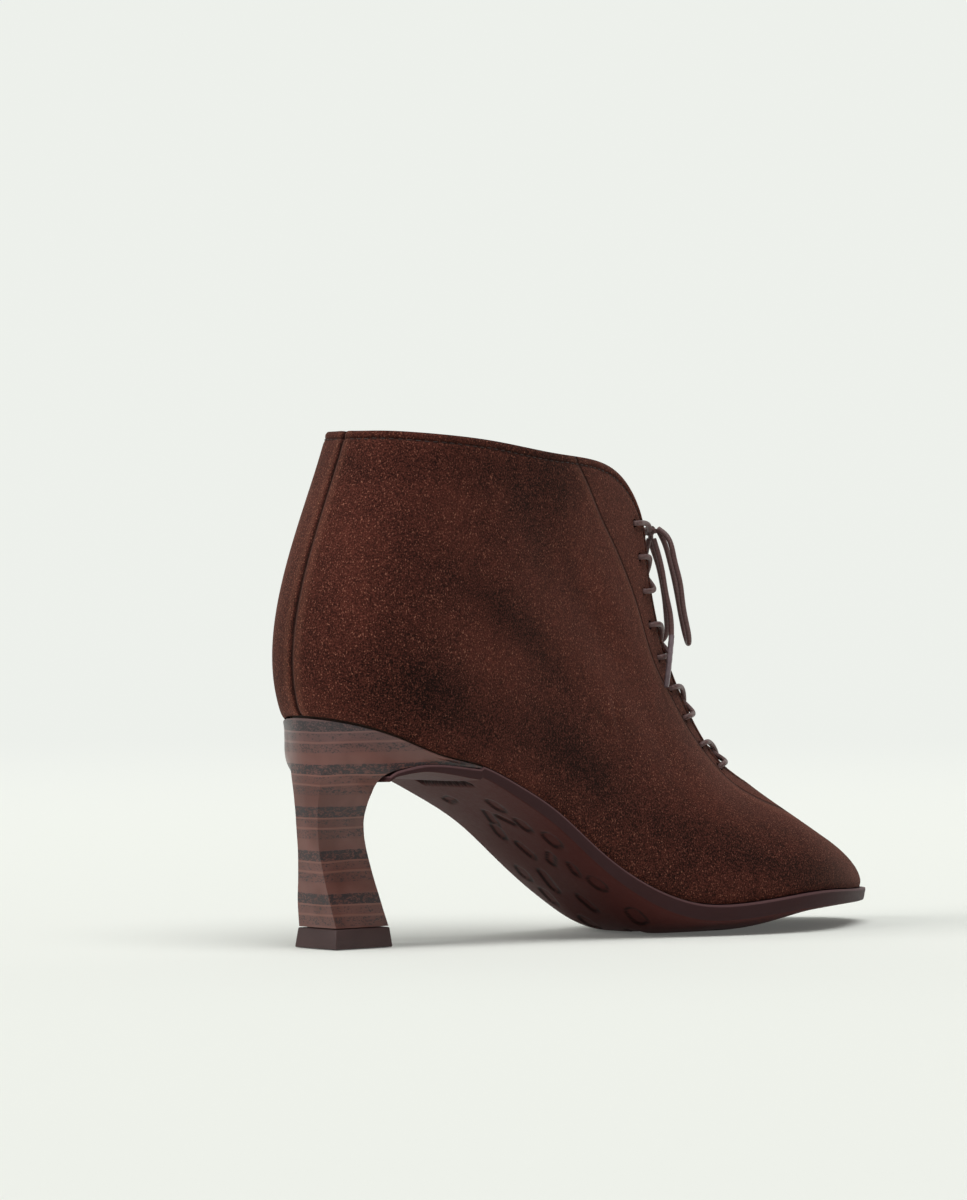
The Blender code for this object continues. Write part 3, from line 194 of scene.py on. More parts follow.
class Curve:
    """A cubic spline through a table's rows: closed round a loop, or with free ends."""

    def __init__(self, knots: Sequence[float], values: Array, closed: bool = False) -> None:
        """Solve the spline.

        Args:
            knots: places of the rows, rising.
            values: one value, or one row of values, at each knot.
            closed: whether the last row runs on into the first.
        """
        self.knots = np.asarray(knots, dtype=float)
        self.values = np.asarray(values, dtype=float)
        self.closed = closed
        self.bends = self._bends()

    def _bends(self) -> Array:
        """Second derivatives at the knots.

        Returns:
            One value, or one row of values, for each knot.
        """
        count = len(self.knots)
        steps = np.diff(self.knots)
        matrix = np.eye(count)
        target = np.zeros_like(self.values)
        slopes = (np.diff(self.values, axis=0).T / steps).T
        inner = np.arange(1, count - 1)
        matrix[inner, inner - 1] = steps[:-1]
        matrix[inner, inner] = 2.0 * (steps[:-1] + steps[1:])
        matrix[inner, inner + 1] = steps[1:]
        target[inner] = 6.0 * np.diff(slopes, axis=0)
        if self.closed:
            matrix[0, -1] = -1.0
            matrix[-1] = 0.0
            matrix[-1, [0, 1]] = 2.0 * steps[0], steps[0]
            matrix[-1, [-1, -2]] = 2.0 * steps[-1], steps[-1]
            target[-1] = 6.0 * (slopes[0] - slopes[-1])
        return np.linalg.solve(matrix, target)

    def __call__(self, place: Array | float) -> Array:
        """Values at places along the knots.

        Args:
            place: one place or many.

        Returns:
            The values there.
        """
        place = np.atleast_1d(np.asarray(place, dtype=float))
        if self.closed:
            start = self.knots[0]
            place = start + np.mod(place - start, self.knots[-1] - start)
        spot = np.searchsorted(self.knots, place, side="right") - 1
        spot = np.clip(spot, 0, len(self.knots) - 2)
        step = self.knots[spot + 1] - self.knots[spot]
        after = (place - self.knots[spot]) / step
        before = 1.0 - after
        scale = step * step / 6.0
        if self.values.ndim > 1:
            after, before, scale = after[:, None], before[:, None], scale[:, None]
        return (before * self.values[spot] + after * self.values[spot + 1]
                + scale * ((before ** 3 - before) * self.bends[spot]
                           + (after ** 3 - after) * self.bends[spot + 1]))


def steady(x: Array | float, knots: Array, values: Array) -> Array:
    """Monotone cubic through rows, which never swings past them.

    Args:
        x: places asked for.
        knots: places of the rows, rising.
        values: the value at each row.

    Returns:
        The values at x.
    """
    x = np.atleast_1d(np.asarray(x, dtype=float))
    knots = np.asarray(knots, dtype=float)
    values = np.asarray(values, dtype=float)
    steps = np.diff(knots)
    slopes = np.diff(values) / steps
    tangents = np.zeros_like(values)
    for row in range(1, len(knots) - 1):
        if slopes[row - 1] * slopes[row] > 0.0:
            tangents[row] = 2.0 / (1.0 / slopes[row - 1] + 1.0 / slopes[row])
    tangents[0] = slopes[0]
    tangents[-1] = slopes[-1]
    x = np.clip(x, knots[0], knots[-1])
    spot = np.clip(np.searchsorted(knots, x, side="right") - 1, 0, len(knots) - 2)
    t = (x - knots[spot]) / steps[spot]
    rise = t * t * (3.0 - 2.0 * t)
    return ((1.0 - rise) * values[spot] + t * (1.0 - t) ** 2 * steps[spot] * tangents[spot]
            + rise * values[spot + 1] + t * t * (t - 1.0) * steps[spot] * tangents[spot + 1])


def bell(distance: Array | float, width: float) -> Array:
    """A soft bump of height 1 at distance 0, faded to about a third at a width from it."""
    return np.exp(-(np.asarray(distance, dtype=float) / width) ** 2)


def running(points: Array) -> Array:
    """Length run along one row of points or many, from 0 at the first point.

    Args:
        points: points along the last axis but one.

    Returns:
        The length run at each point.
    """
    steps = np.linalg.norm(np.diff(points, axis=-2), axis=-1)
    return np.concatenate([np.zeros((*steps.shape[:-1], 1)), np.cumsum(steps, axis=-1)], axis=-1)


def resampled(points: Array, count: int) -> Array:
    """Evenly spread points along one smooth curve through a route's own points."""
    run = running(points)
    return Curve(run, points)(np.linspace(0.0, run[-1], count))


@dataclass
class BootLast:
    """The surface that the upper is pulled over, worked out from a table of sections."""

    length: float = 234.5 * MM
    seat_overhang: float = 17.7 * MM
    ball_width: float = 74.0 * MM
    heel_height: float = 69.4 * MM
    forepart_height: float = 9.6 * MM
    boot_height: float = 155.2 * MM
    collar_width: float = 54.0 * MM
    clearance: float = 0.3 * MM
    throat_section: int = 7
    collar_section: int = 15

    def __post_init__(self) -> None:
        """Fit the splines round the foot."""
        col = {name: column(SECTIONS, SECTION_COLUMNS, name) for name in SECTION_COLUMNS}
        self.profile = Curve(column(PROFILE, PROFILE_COLUMNS, "at"),
                             np.stack([column(PROFILE, PROFILE_COLUMNS, "lift"),
                                       column(PROFILE, PROFILE_COLUMNS, "spring")], axis=1))
        foot_x = self.along(col["foot_x"])
        middle = 0.5 * (col["inner"] - col["outer"]) * self.ball_width
        self.knots = running(np.stack([foot_x, middle], axis=1))
        self.around = float(self.knots[-1])
        loop = np.concatenate([self.knots, 2.0 * self.around - self.knots[-2::-1]])

        def ring(outer: Array, inner: Array) -> Curve:
            """A closed spline round the lateral and the medial side."""
            return Curve(loop, np.concatenate([outer, inner[-2::-1]]), closed=True)

        aim = np.radians(col["aim"])
        gap = col["gap"] * self.collar_width
        same = {"foot_x": foot_x, "top_x": self.along(col["top_x"]),
                "top_z": col["top_z"] * self.boot_height, "ridge": col["ridge"] * self.ball_width,
                "aim_x": -np.sin(aim), "lean": np.radians(col["lean"]),
                "dip": np.radians(col["dip"]), "foot_pull": col["foot_pull"], "top_pull": col["top_pull"]}
        self.rings = {name: ring(values, values) for name, values in same.items()}
        self.rings["foot_y"] = ring(col["outer"] * self.ball_width, col["inner"] * self.ball_width)
        self.rings["gap"] = ring(-gap, gap)
        self.rings["aim_y"] = ring(-np.cos(aim), np.cos(aim))
        self.throat = float(self.knots[self.throat_section])
        self.collar = float(self.knots[self.collar_section])

    def along(self, share: Array | float) -> Array | float:
        """World x of a share of the last's length."""
        return share * self.length - self.seat_overhang

    def feather_height(self, x: Array | float) -> Array:
        """Height of the line where the upper meets the sole.

        Args:
            x: world x, one or many.

        Returns:
            The height at each x.
        """
        share = np.clip((np.atleast_1d(x) + self.seat_overhang) / self.length, 0.0, 1.0)
        lift, spring = self.profile(share).T
        return (self.forepart_height + lift * (self.heel_height - self.forepart_height)
                + spring * self.forepart_height)

    def at(self, u: Array | float, side: Side) -> Array:
        """Place on the closed loop of a place on one side."""
        u = np.atleast_1d(np.asarray(u, dtype=float))
        return u if side is Side.LATERAL else 2.0 * self.around - u

    def feather(self, u: Array | float, side: Side) -> tuple[Array, Array]:
        """Points of the feather line and the outward directions there.

        Args:
            u: places from the toe to the back.
            side: which side of the boot.

        Returns:
            The points and the unit directions.
        """
        place = self.at(u, side)
        foot_x, foot_y = self.rings["foot_x"], self.rings["foot_y"]
        nudge = 1e-5
        dx = foot_x(place + nudge) - foot_x(place - nudge)
        dy = foot_y(place + nudge) - foot_y(place - nudge)
        size = np.hypot(dx, dy)
        x = foot_x(place)
        points = np.stack([x, foot_y(place), self.feather_height(x)], axis=1)
        return points, np.stack([-dy / size, dx / size, np.zeros_like(x)], axis=1)

    def middle_line(self, u: Array) -> Array:
        """World y halfway between the two sides of the feather line."""
        return 0.5 * sum(self.feather(u, side)[0][:, 1] for side in Side)

    def top(self, u: Array | float, side: Side) -> Array:
        """Points of the ridge, the throat's edge and the collar.

        Args:
            u: places from the toe to the back.
            side: which side of the boot.

        Returns:
            One point for each place.
        """
        place = self.at(u, side)
        opened = np.atleast_1d(u) > self.throat + 1e-6
        gap = np.where(opened, self.rings["gap"](place), 0.0)
        return np.stack([self.rings["top_x"](place), self.rings["ridge"](place) + gap,
                         self.rings["top_z"](place)], axis=1)

    def skin(self, u: Array, v: Array, side: Side) -> Array:
        """Points of the outer surface.

        Args:
            u: places from the toe to the back.
            v: heights from 0 to 1, one row for all places or a row for each.
            side: which side of the boot.

        Returns:
            Points by place and height.
        """
        u = np.atleast_1d(np.asarray(u, dtype=float))
        v = np.atleast_1d(np.asarray(v, dtype=float))
        v = np.broadcast_to(v, (len(u), v.shape[-1]))
        place = self.at(u, side)
        foot, outward = self.feather(u, side)
        foot = foot + np.array([0.0, 0.0, self.clearance])
        top = self.top(u, side)
        height = np.linalg.norm(top - foot, axis=1)[:, None]
        lean = self.rings["lean"](place)[:, None]
        dip = self.rings["dip"](place)[:, None]
        up = np.array([0.0, 0.0, 1.0])
        aim = np.stack([self.rings["aim_x"](place), self.rings["aim_y"](place),
                        np.zeros_like(place)], axis=1)
        aim = aim / np.linalg.norm(aim, axis=1)[:, None]
        low = foot + self.rings["foot_pull"](place)[:, None] * height * (
            outward * np.sin(lean) + up * np.cos(lean))
        high = top + self.rings["top_pull"](place)[:, None] * height * (
            aim * np.cos(dip) - up * np.sin(dip))
        t = v[:, :, None]
        return (foot[:, None] * (1 - t) ** 3 + low[:, None] * 3 * t * (1 - t) ** 2
                + high[:, None] * 3 * t ** 2 * (1 - t) + top[:, None] * t ** 3)

    def normals(self, u: Array, v: Array, side: Side) -> Array:
        """Outward directions of the skin.

        Args:
            u: places from the toe to the back.
            v: heights from 0 to 1, as for the skin.
            side: which side of the boot.

        Returns:
            Unit directions by place and height.
        """
        nudge = 2e-4
        middle = np.clip(v, nudge, 1.0 - nudge)
        along_u = self.skin(u + nudge, middle, side) - self.skin(u - nudge, middle, side)
        along_v = self.skin(u, middle + nudge, side) - self.skin(u, middle - nudge, side)
        normal = np.cross(along_u, along_v) * side.value
        return normal / np.linalg.norm(normal, axis=2)[:, :, None]

    def place_of_x(self, x: float) -> float:
        """Place whose feather point has a world x."""
        u = np.linspace(0.0, self.around, 1200)
        return float(np.interp(-x, -self.rings["foot_x"](u), u))


class Signal:
    """One value in a node tree, whose Python operators add Math nodes."""

    def __init__(self, paint: "Paint", socket: Socket) -> None:
        """Wrap a socket of a material that is being painted."""
        self.paint = paint
        self.socket = socket

    def _math(self, operation: str, *values: "Signal | float", clamp: bool = False) -> "Signal":
        """The outcome of a Math node on some values."""
        node = self.paint.node("ShaderNodeMath", {"operation": operation, "use_clamp": clamp},
                               {index: value for index, value in enumerate(values)})
        return Signal(self.paint, node.outputs[0])

    def __add__(self, other: "Signal | float") -> "Signal":
        """Sum."""
        return self._math("ADD", self, other)

    def __radd__(self, other: float) -> "Signal":
        """Sum."""
        return self._math("ADD", other, self)

    def __sub__(self, other: "Signal | float") -> "Signal":
        """Difference."""
        return self._math("SUBTRACT", self, other)

    def __rsub__(self, other: float) -> "Signal":
        """Difference."""
        return self._math("SUBTRACT", other, self)

    def __mul__(self, other: "Signal | float") -> "Signal":
        """Product."""
        return self._math("MULTIPLY", self, other)

    def __rmul__(self, other: float) -> "Signal":
        """Product."""
        return self._math("MULTIPLY", other, self)

    def __truediv__(self, other: "Signal | float") -> "Signal":
        """Quotient."""
        return self._math("DIVIDE", self, other)

    def __pow__(self, other: "Signal | float") -> "Signal":
        """Power."""
        return self._math("POWER", self, other)

    def most(self, other: "Signal | float") -> "Signal":
        """The larger of two values."""
        return self._math("MAXIMUM", self, other)

    def size(self) -> "Signal":
        """Absolute value."""
        return self._math("ABSOLUTE", self)

    def sine(self) -> "Signal":
        """Sine of a value in radians."""
        return self._math("SINE", self)

    def fraction(self) -> "Signal":
        """What is left past the last whole number."""
        return self._math("FRACT", self)

    def clamped(self) -> "Signal":
        """Value held between 0 and 1."""
        return self._math("ADD", self, 0.0, clamp=True)

    def smooth(self, low: float, high: float) -> "Signal":
        """A soft step from 0 at low to 1 at high."""
        node = self.paint.node("ShaderNodeMapRange", {"interpolation_type": "SMOOTHSTEP"},
                               {0: self, 1: low, 2: high, 3: 0.0, 4: 1.0})
        return Signal(self.paint, node.outputs[0])

    def hump(self, middle: float, width: float) -> "Signal":
        """A soft hump of height 1 at a value, gone at a width from it."""
        return (self - middle).size().smooth(width, 0.0)


class Paint:
    """A material under construction."""

    def __init__(self, name: str) -> None:
        """Start a material with an empty tree.

        Args:
            name: the material's name.
        """
        self.material = bpy.data.materials.new(name)
        self.material.use_nodes = True
        self.tree = self.material.node_tree
        self.tree.nodes.clear()

    def node(self, kind: str, settings: dict | None = None, values: dict | None = None) -> bpy.types.Node:
        """Add a node.

        Args:
            kind: the node's type.
            settings: properties that are set first.
            values: numbers, colours, sockets or signals for its inputs, by name or index.

        Returns:
            The new node.
        """
        node = self.tree.nodes.new(kind)
        for name, value in (settings or {}).items():
            if name == "stops":
                self._stops(node.color_ramp, value)
            else:
                setattr(node, name, value)
        for name, value in (values or {}).items():
            socket = node.inputs[name]
            if isinstance(value, Signal):
                value = value.socket
            if isinstance(value, Socket):
                self.tree.links.new(value, socket)
            elif isinstance(value, tuple) and len(value) == 3 and socket.type == "RGBA":
                socket.default_value = (*value, 1.0)
            else:
                socket.default_value = value
        return node

    @staticmethod
    def _stops(ramp: bpy.types.ColorRamp, stops: Sequence[tuple[float, float]]) -> None:
        """Set a ramp's grey stops.

        Args:
            ramp: the ramp.
            stops: place and grey of each stop.
        """
        while len(ramp.elements) < len(stops):
            ramp.elements.new(1.0)
        for element, (place, grey) in zip(ramp.elements, stops):
            element.position = place
            element.color = (grey, grey, grey, 1.0)

    def place(self) -> Socket:
        """Object coordinates."""
        return self.node("ShaderNodeTexCoord").outputs["Object"]

    def axis(self, name: str) -> Signal:
        """One of the object coordinates."""
        split = self.node("ShaderNodeSeparateXYZ", values={0: self.place()})
        return Signal(self, split.outputs[name])

    def attribute(self, name: str) -> Signal:
        """A value stored on the piece's vertices."""
        node = self.node("ShaderNodeAttribute", {"attribute_name": name})
        return Signal(self, node.outputs["Fac"])

    def stretched(self, scale: Point, turn: Point = (0.0, 0.0, 0.0)) -> Socket:
        """Object coordinates turned by degrees and scaled."""
        values = {"Vector": self.place(), "Rotation": tuple(map(math.radians, turn)), "Scale": scale}
        return self.node("ShaderNodeMapping", values=values).outputs[0]

    def noise(self, scale: float, detail: float = 2.0, roughness: float = 0.5,
              vector: Socket | None = None, warp: float = 0.0) -> Signal:
        """Soft noise around 0.5.

        Args:
            scale: waves per metre.
            detail: octaves.
            roughness: strength of the finer octaves.
            vector: coordinates, or none for the object's own.
            warp: distortion.

        Returns:
            The noise.
        """
        node = self.node("ShaderNodeTexNoise", {"noise_dimensions": "3D"},
                         {"Vector": vector or self.place(), "Scale": scale, "Detail": detail,
                          "Roughness": roughness, "Distortion": warp})
        return Signal(self, node.outputs[0])

    def cells(self, scale: float) -> Signal:
        """Distance to the nearest of scattered points."""
        node = self.node("ShaderNodeTexVoronoi", {"feature": "F1"},
                         {"Vector": self.place(), "Scale": scale})
        return Signal(self, node.outputs["Distance"])

    def ramp(self, signal: Signal, stops: Sequence[tuple[float, float]]) -> Signal:
        """Grey values read off a ramp."""
        return Signal(self, self.node("ShaderNodeValToRGB", {"stops": stops}, {0: signal}).outputs[0])

    def mix(self, share: Signal | float, first: Point | Socket, second: Point | Socket) -> Socket:
        """Blend two colours."""
        node = self.node("ShaderNodeMix", {"data_type": "RGBA"}, {0: share, 6: first, 7: second})
        return node.outputs[2]

    def bump(self, height: Signal) -> Socket:
        """Normals of a relief whose height is in millimetres."""
        values = {"Strength": 1.0, "Distance": MM, "Height": height}
        return self.node("ShaderNodeBump", values=values).outputs[0]

    def surface(self, color: Socket | Point, roughness: Signal | float,
                normal: Socket | None = None, **fixed: object) -> Material:
        """Finish the material.

        Args:
            color: base colour.
            roughness: surface roughness.
            normal: relief.
            fixed: other sockets of the shader, with spaces as underscores.

        Returns:
            The material.
        """
        values = {"Base Color": color, "Roughness": roughness}
        if normal is not None:
            values["Normal"] = normal
        for name, value in fixed.items():
            values[name.replace("_", " ")] = value
        shader = self.node("ShaderNodeBsdfPrincipled", values=values)
        self.node("ShaderNodeOutputMaterial", values={"Surface": shader.outputs[0]})
        return self.material


@dataclass(frozen=True)
class SuedeFinish:
    """Brushed suede: a mottled pile with pale fibre tips, seams and a stitched top line, with painted
    shade and highlights in patches and beside the seams.
    """

    dark: Point = linear(14, 6, 5)
    mid: Point = linear(92, 47, 38)
    # Pale fibre tips; also the colour of the painted highlights.
    pale: Point = linear(176, 120, 98)
    seam: Point = linear(16, 8, 7)
    patch_scale: float = 24.0
    mottle_scale: float = 210.0
    grain_scale: float = 2000.0
    fibre_scale: float = 2700.0
    top_stitch: float = 2.4
    stitch_half: float = 0.7
    facing_seam: float = 0.55

    def make(self) -> Material:
        """Build the material.

        Returns:
            The suede.
        """
        paint = Paint("suede")
        slanted = paint.stretched((1.0, 1.0, 0.8), (0.0, 38.0, 0.0))
        brushed = paint.stretched((1.0, 1.0, 0.55), (0.0, 24.0, 0.0))
        patches = paint.noise(self.patch_scale, 2.0, 0.5, slanted, 0.4)
        mottle = paint.noise(self.mottle_scale, 3.0, 0.6)
        grain = paint.noise(self.grain_scale, 2.0, 0.6)
        fibre = paint.noise(self.fibre_scale, 1.0, 0.6, brushed)
        # The patches hold painted shade and highlights as well as the pile's own darker and lighter
        # patches.
        patch_tone_and_painted_light = paint.attribute("nap")
        nap = (patches.smooth(0.34, 0.68) * 0.20 + mottle.smooth(0.32, 0.70) * 0.14
               + grain.smooth(0.43, 0.58) * 0.50 + fibre.smooth(0.40, 0.60) * 0.20 + patch_tone_and_painted_light * 0.36)
        tips = fibre.smooth(0.57, 0.68) * grain.smooth(0.50, 0.62) * (0.6 + patch_tone_and_painted_light * 0.5)
        facing = paint.attribute("from_facing")
        top = paint.attribute("from_top")
        back = paint.attribute("from_back")
        stitched = top.hump(self.top_stitch, self.stitch_half)
        seam_shade = (facing.hump(self.facing_seam, 1.0) * 0.8).most(back.hump(0.0, 1.1) * 0.85)
        seam_shade = seam_shade.most(stitched * 0.6)
        # Painted highlight on the raised edges beside the front panel's seam and the back seam.
        seam_ridge_highlight = facing.hump(-1.2, 2.0) * 0.07 + back.size().hump(2.2, 2.0) * 0.08
        color = paint.mix(nap.clamped(), self.dark, self.mid)
        color = paint.mix((tips + seam_ridge_highlight).clamped(), color, self.pale)
        color = paint.mix(seam_shade.clamped(), color, self.seam)
        pile = grain * 0.22 + fibre * 0.10 + mottle * 0.22
        step = facing.smooth(-0.4, 0.5) * -0.30 - facing.hump(self.facing_seam, 0.8) * 0.28
        fold = back.hump(0.0, 1.0) * -0.45
        channel = stitched * -0.34 + top.hump(1.1, 1.2) * 0.12
        relief = paint.bump(pile + step + fold + channel)
        return paint.surface(color, 0.95 - nap * 0.08, relief, Sheen_Weight=0.22,
                             Sheen_Roughness=0.5, Sheen_Tint=(0.55, 0.28, 0.22, 1.0),
                             Specular_IOR_Level=0.08)


@dataclass(frozen=True)
class EdgeFinish:
    """The cut and dyed edge of the upper."""

    tone: Point = linear(44, 26, 23)

    def make(self) -> Material:
        """Build the material.

        Returns:
            The material.
        """
        paint = Paint("suede_edge")
        layers = paint.noise(900.0, 2.0)
        color = paint.mix(layers.smooth(0.3, 0.7) * 0.5, self.tone, linear(70, 44, 38))
        return paint.surface(color, 0.85, paint.bump(layers * 0.15), Specular_IOR_Level=0.2)


@dataclass(frozen=True)
class LeatherFinish:
    """Smooth lining leather with a fine pebbled grain."""

    name: str = "lining_leather"
    low: Point = linear(78, 55, 44)
    high: Point = linear(104, 77, 63)

    def make(self) -> Material:
        """Build the material.

        Returns:
            The material.
        """
        paint = Paint(self.name)
        cloud = paint.noise(40.0, 3.0)
        pores = paint.cells(1500.0)
        grain = paint.noise(1100.0, 2.0)
        color = paint.mix(cloud.smooth(0.3, 0.7), self.low, self.high)
        color = paint.mix(pores.smooth(0.18, 0.02) * 0.35, color, self.low)
        relief = paint.bump(pores.smooth(0.0, 0.5) * 0.05 + grain * 0.06)
        return paint.surface(color, 0.52 + cloud * 0.12, relief, Specular_IOR_Level=0.4)


@dataclass(frozen=True)
class SoleFinish:
    """Moulded sole: satin, with a painted highlight along its top edge and painted shade round its
    moulded marks, reddish underneath.
    """

    side: Point = linear(60, 38, 39)
    # Colour of the painted highlight along the bevelled top edge.
    edge: Point = linear(108, 80, 82)
    under: Point = linear(70, 33, 30)
    # Colour of the painted shade round the moulded marks.
    seam: Point = linear(18, 10, 10)

    def make(self) -> Material:
        """Build the material.

        Returns:
            The material.
        """
        paint = Paint("moulded_sole")
        cloud = paint.noise(60.0, 3.0)
        dust = paint.noise(700.0, 3.0, 0.65)
        edge = paint.attribute("edge")
        tread = paint.attribute("tread")
        color = paint.mix(cloud.smooth(0.3, 0.7) * 0.35, self.side, linear(60, 43, 46))
        # Painted highlight along the bevelled top edge.
        color = paint.mix(edge.smooth(0.35, 0.95) * 0.75, color, self.edge)
        color = paint.mix(tread.smooth(0.2, 0.9), color, self.under)
        # Painted shade round the moulded marks and in the ribbed bar's slot.
        color = paint.mix(paint.attribute("mark_edge").smooth(0.1, 0.9) * 0.85, color, self.seam)
        relief = paint.bump(dust * 0.05 + cloud * 0.1)
        rough = 0.42 + dust * 0.14 + cloud * 0.08
        return paint.surface(color, rough, relief, Specular_IOR_Level=0.08,
                             Specular_Tint=(1.0, 0.80, 0.78, 1.0))


@dataclass(frozen=True)
class StackFinish:
    """Stacked heel: a repeating run of plain and speckled layers, sealed with a satin coat."""

    pitch: float = 13.15 * MM
    first: float = 13.3 * MM
    tilt: float = 0.045
    plain: Point = linear(110, 68, 60)
    line: Point = linear(132, 86, 74)
    warm: Point = linear(90, 48, 39)
    dark: Point = linear(32, 25, 29)
    # Colour of the painted shade towards the top of the block.
    grey: Point = linear(92, 76, 80)

    def make(self) -> Material:
        """Build the material.

        Returns:
            The stacked layers.
        """
        paint = Paint("stacked_layers")
        x, z = paint.axis("X"), paint.axis("Z")
        sway = paint.noise(55.0, 1.0) - 0.5
        rise = z.smooth(0.03, 0.07) * self.tilt
        level = (z - x * rise + sway * 0.0012 - self.first) / self.pitch
        phase = level.fraction()
        band = paint.ramp(phase, ((0.0, 0.86), (0.23, 0.86), (0.26, 0.12), (0.49, 0.20),
                                  (0.52, 0.62), (0.71, 0.68), (0.73, 0.04), (0.77, 0.04),
                                  (0.79, 0.52), (0.95, 0.62), (0.965, 0.04), (0.99, 0.04)))
        thin = band.smooth(0.09, 0.03)
        speck = paint.noise(1900.0, 3.0, 0.8, paint.stretched((0.6, 0.6, 1.0)))
        coarse = paint.noise(800.0, 2.0, 0.7, paint.stretched((0.4, 0.4, 1.0)))
        grains = speck * 0.72 + coarse * 0.28
        shown = ((grains - 0.75 + band * 0.32) * 14.0 + 0.5).clamped()
        shade = (band * 0.26 + shown * band.smooth(0.02, 0.26) * 0.72).clamped()
        color = paint.mix(paint.noise(90.0, 2.0).smooth(0.3, 0.7), self.plain, self.warm)
        color = paint.mix(thin * 0.45, color, self.line)
        # Greyer towards the top of the block, where it swells into the cup: painted shade.
        color = paint.mix(z.smooth(0.056, 0.070) * 0.5, color, self.grey)
        color = paint.mix(shade, color, self.dark)
        relief = paint.bump(band * -0.04 + speck * 0.05)
        return paint.surface(color, 0.36 + band * 0.14, relief, Specular_IOR_Level=0.42,
                             Coat_Weight=0.30, Coat_Roughness=0.28)


@dataclass(frozen=True)
class PlainFinish:
    """A plain moulded, painted or plated material with fine unevenness."""

    name: str
    tone: Point
    second: Point
    roughness: float
    grain: float = 600.0
    relief: float = 0.04
    metallic: float = 0.0
    coat: float = 0.0

    def make(self) -> Material:
        """Build the material.

        Returns:
            The material.
        """
        paint = Paint(self.name)
        cloud = paint.noise(self.grain * 0.12, 2.0)
        fine = paint.noise(self.grain, 3.0, 0.6)
        color = paint.mix(cloud.smooth(0.3, 0.7) * 0.6 + fine * 0.3, self.tone, self.second)
        rough = self.roughness + (fine - 0.5) * 0.12
        return paint.surface(color, rough, paint.bump(fine * self.relief), Metallic=self.metallic,
                             Coat_Weight=self.coat, Coat_Roughness=0.12)


@dataclass(frozen=True)
class CordFinish:
    """Round braided lace, lightly waxed."""

    groove: Point = linear(54, 36, 35)
    crown: Point = linear(124, 90, 88)
    strands: float = 6.0
    pitch: float = 2.0

    def make(self) -> Material:
        """Build the material.

        Returns:
            The material.
        """
        paint = Paint("waxed_braid")
        run = paint.attribute("run")
        turn = paint.attribute("turn")
        left = (run * (2.0 * math.pi / self.pitch) + turn * self.strands).sine()
        right = (run * (2.0 * math.pi / self.pitch) - turn * self.strands).sine()
        weave = (left * right + 1.0) * 0.5
        fuzz = paint.noise(1600.0, 2.0)
        color = paint.mix((weave * 0.30 + fuzz * 0.75).clamped(), self.groove, self.crown)
        relief = paint.bump(weave * 0.05 + fuzz * 0.08)
        return paint.surface(color, 0.40 + fuzz * 0.15, relief, Specular_IOR_Level=0.45)


@dataclass(frozen=True)
class TapeFinish:
    """Woven zip tape."""

    low: Point = linear(30, 21, 19)
    high: Point = linear(58, 44, 40)

    def make(self) -> Material:
        """Build the material.

        Returns:
            The material.
        """
        paint = Paint("woven_tape")
        across = (paint.axis("X") * (2.0 * math.pi / (0.55 * MM))).sine()
        up = (paint.axis("Z") * (2.0 * math.pi / (0.42 * MM))).sine()
        weave = (across * up + 1.0) * 0.5
        color = paint.mix(weave, self.low, self.high)
        return paint.surface(color, 0.8, paint.bump(weave * 0.12), Specular_IOR_Level=0.25)


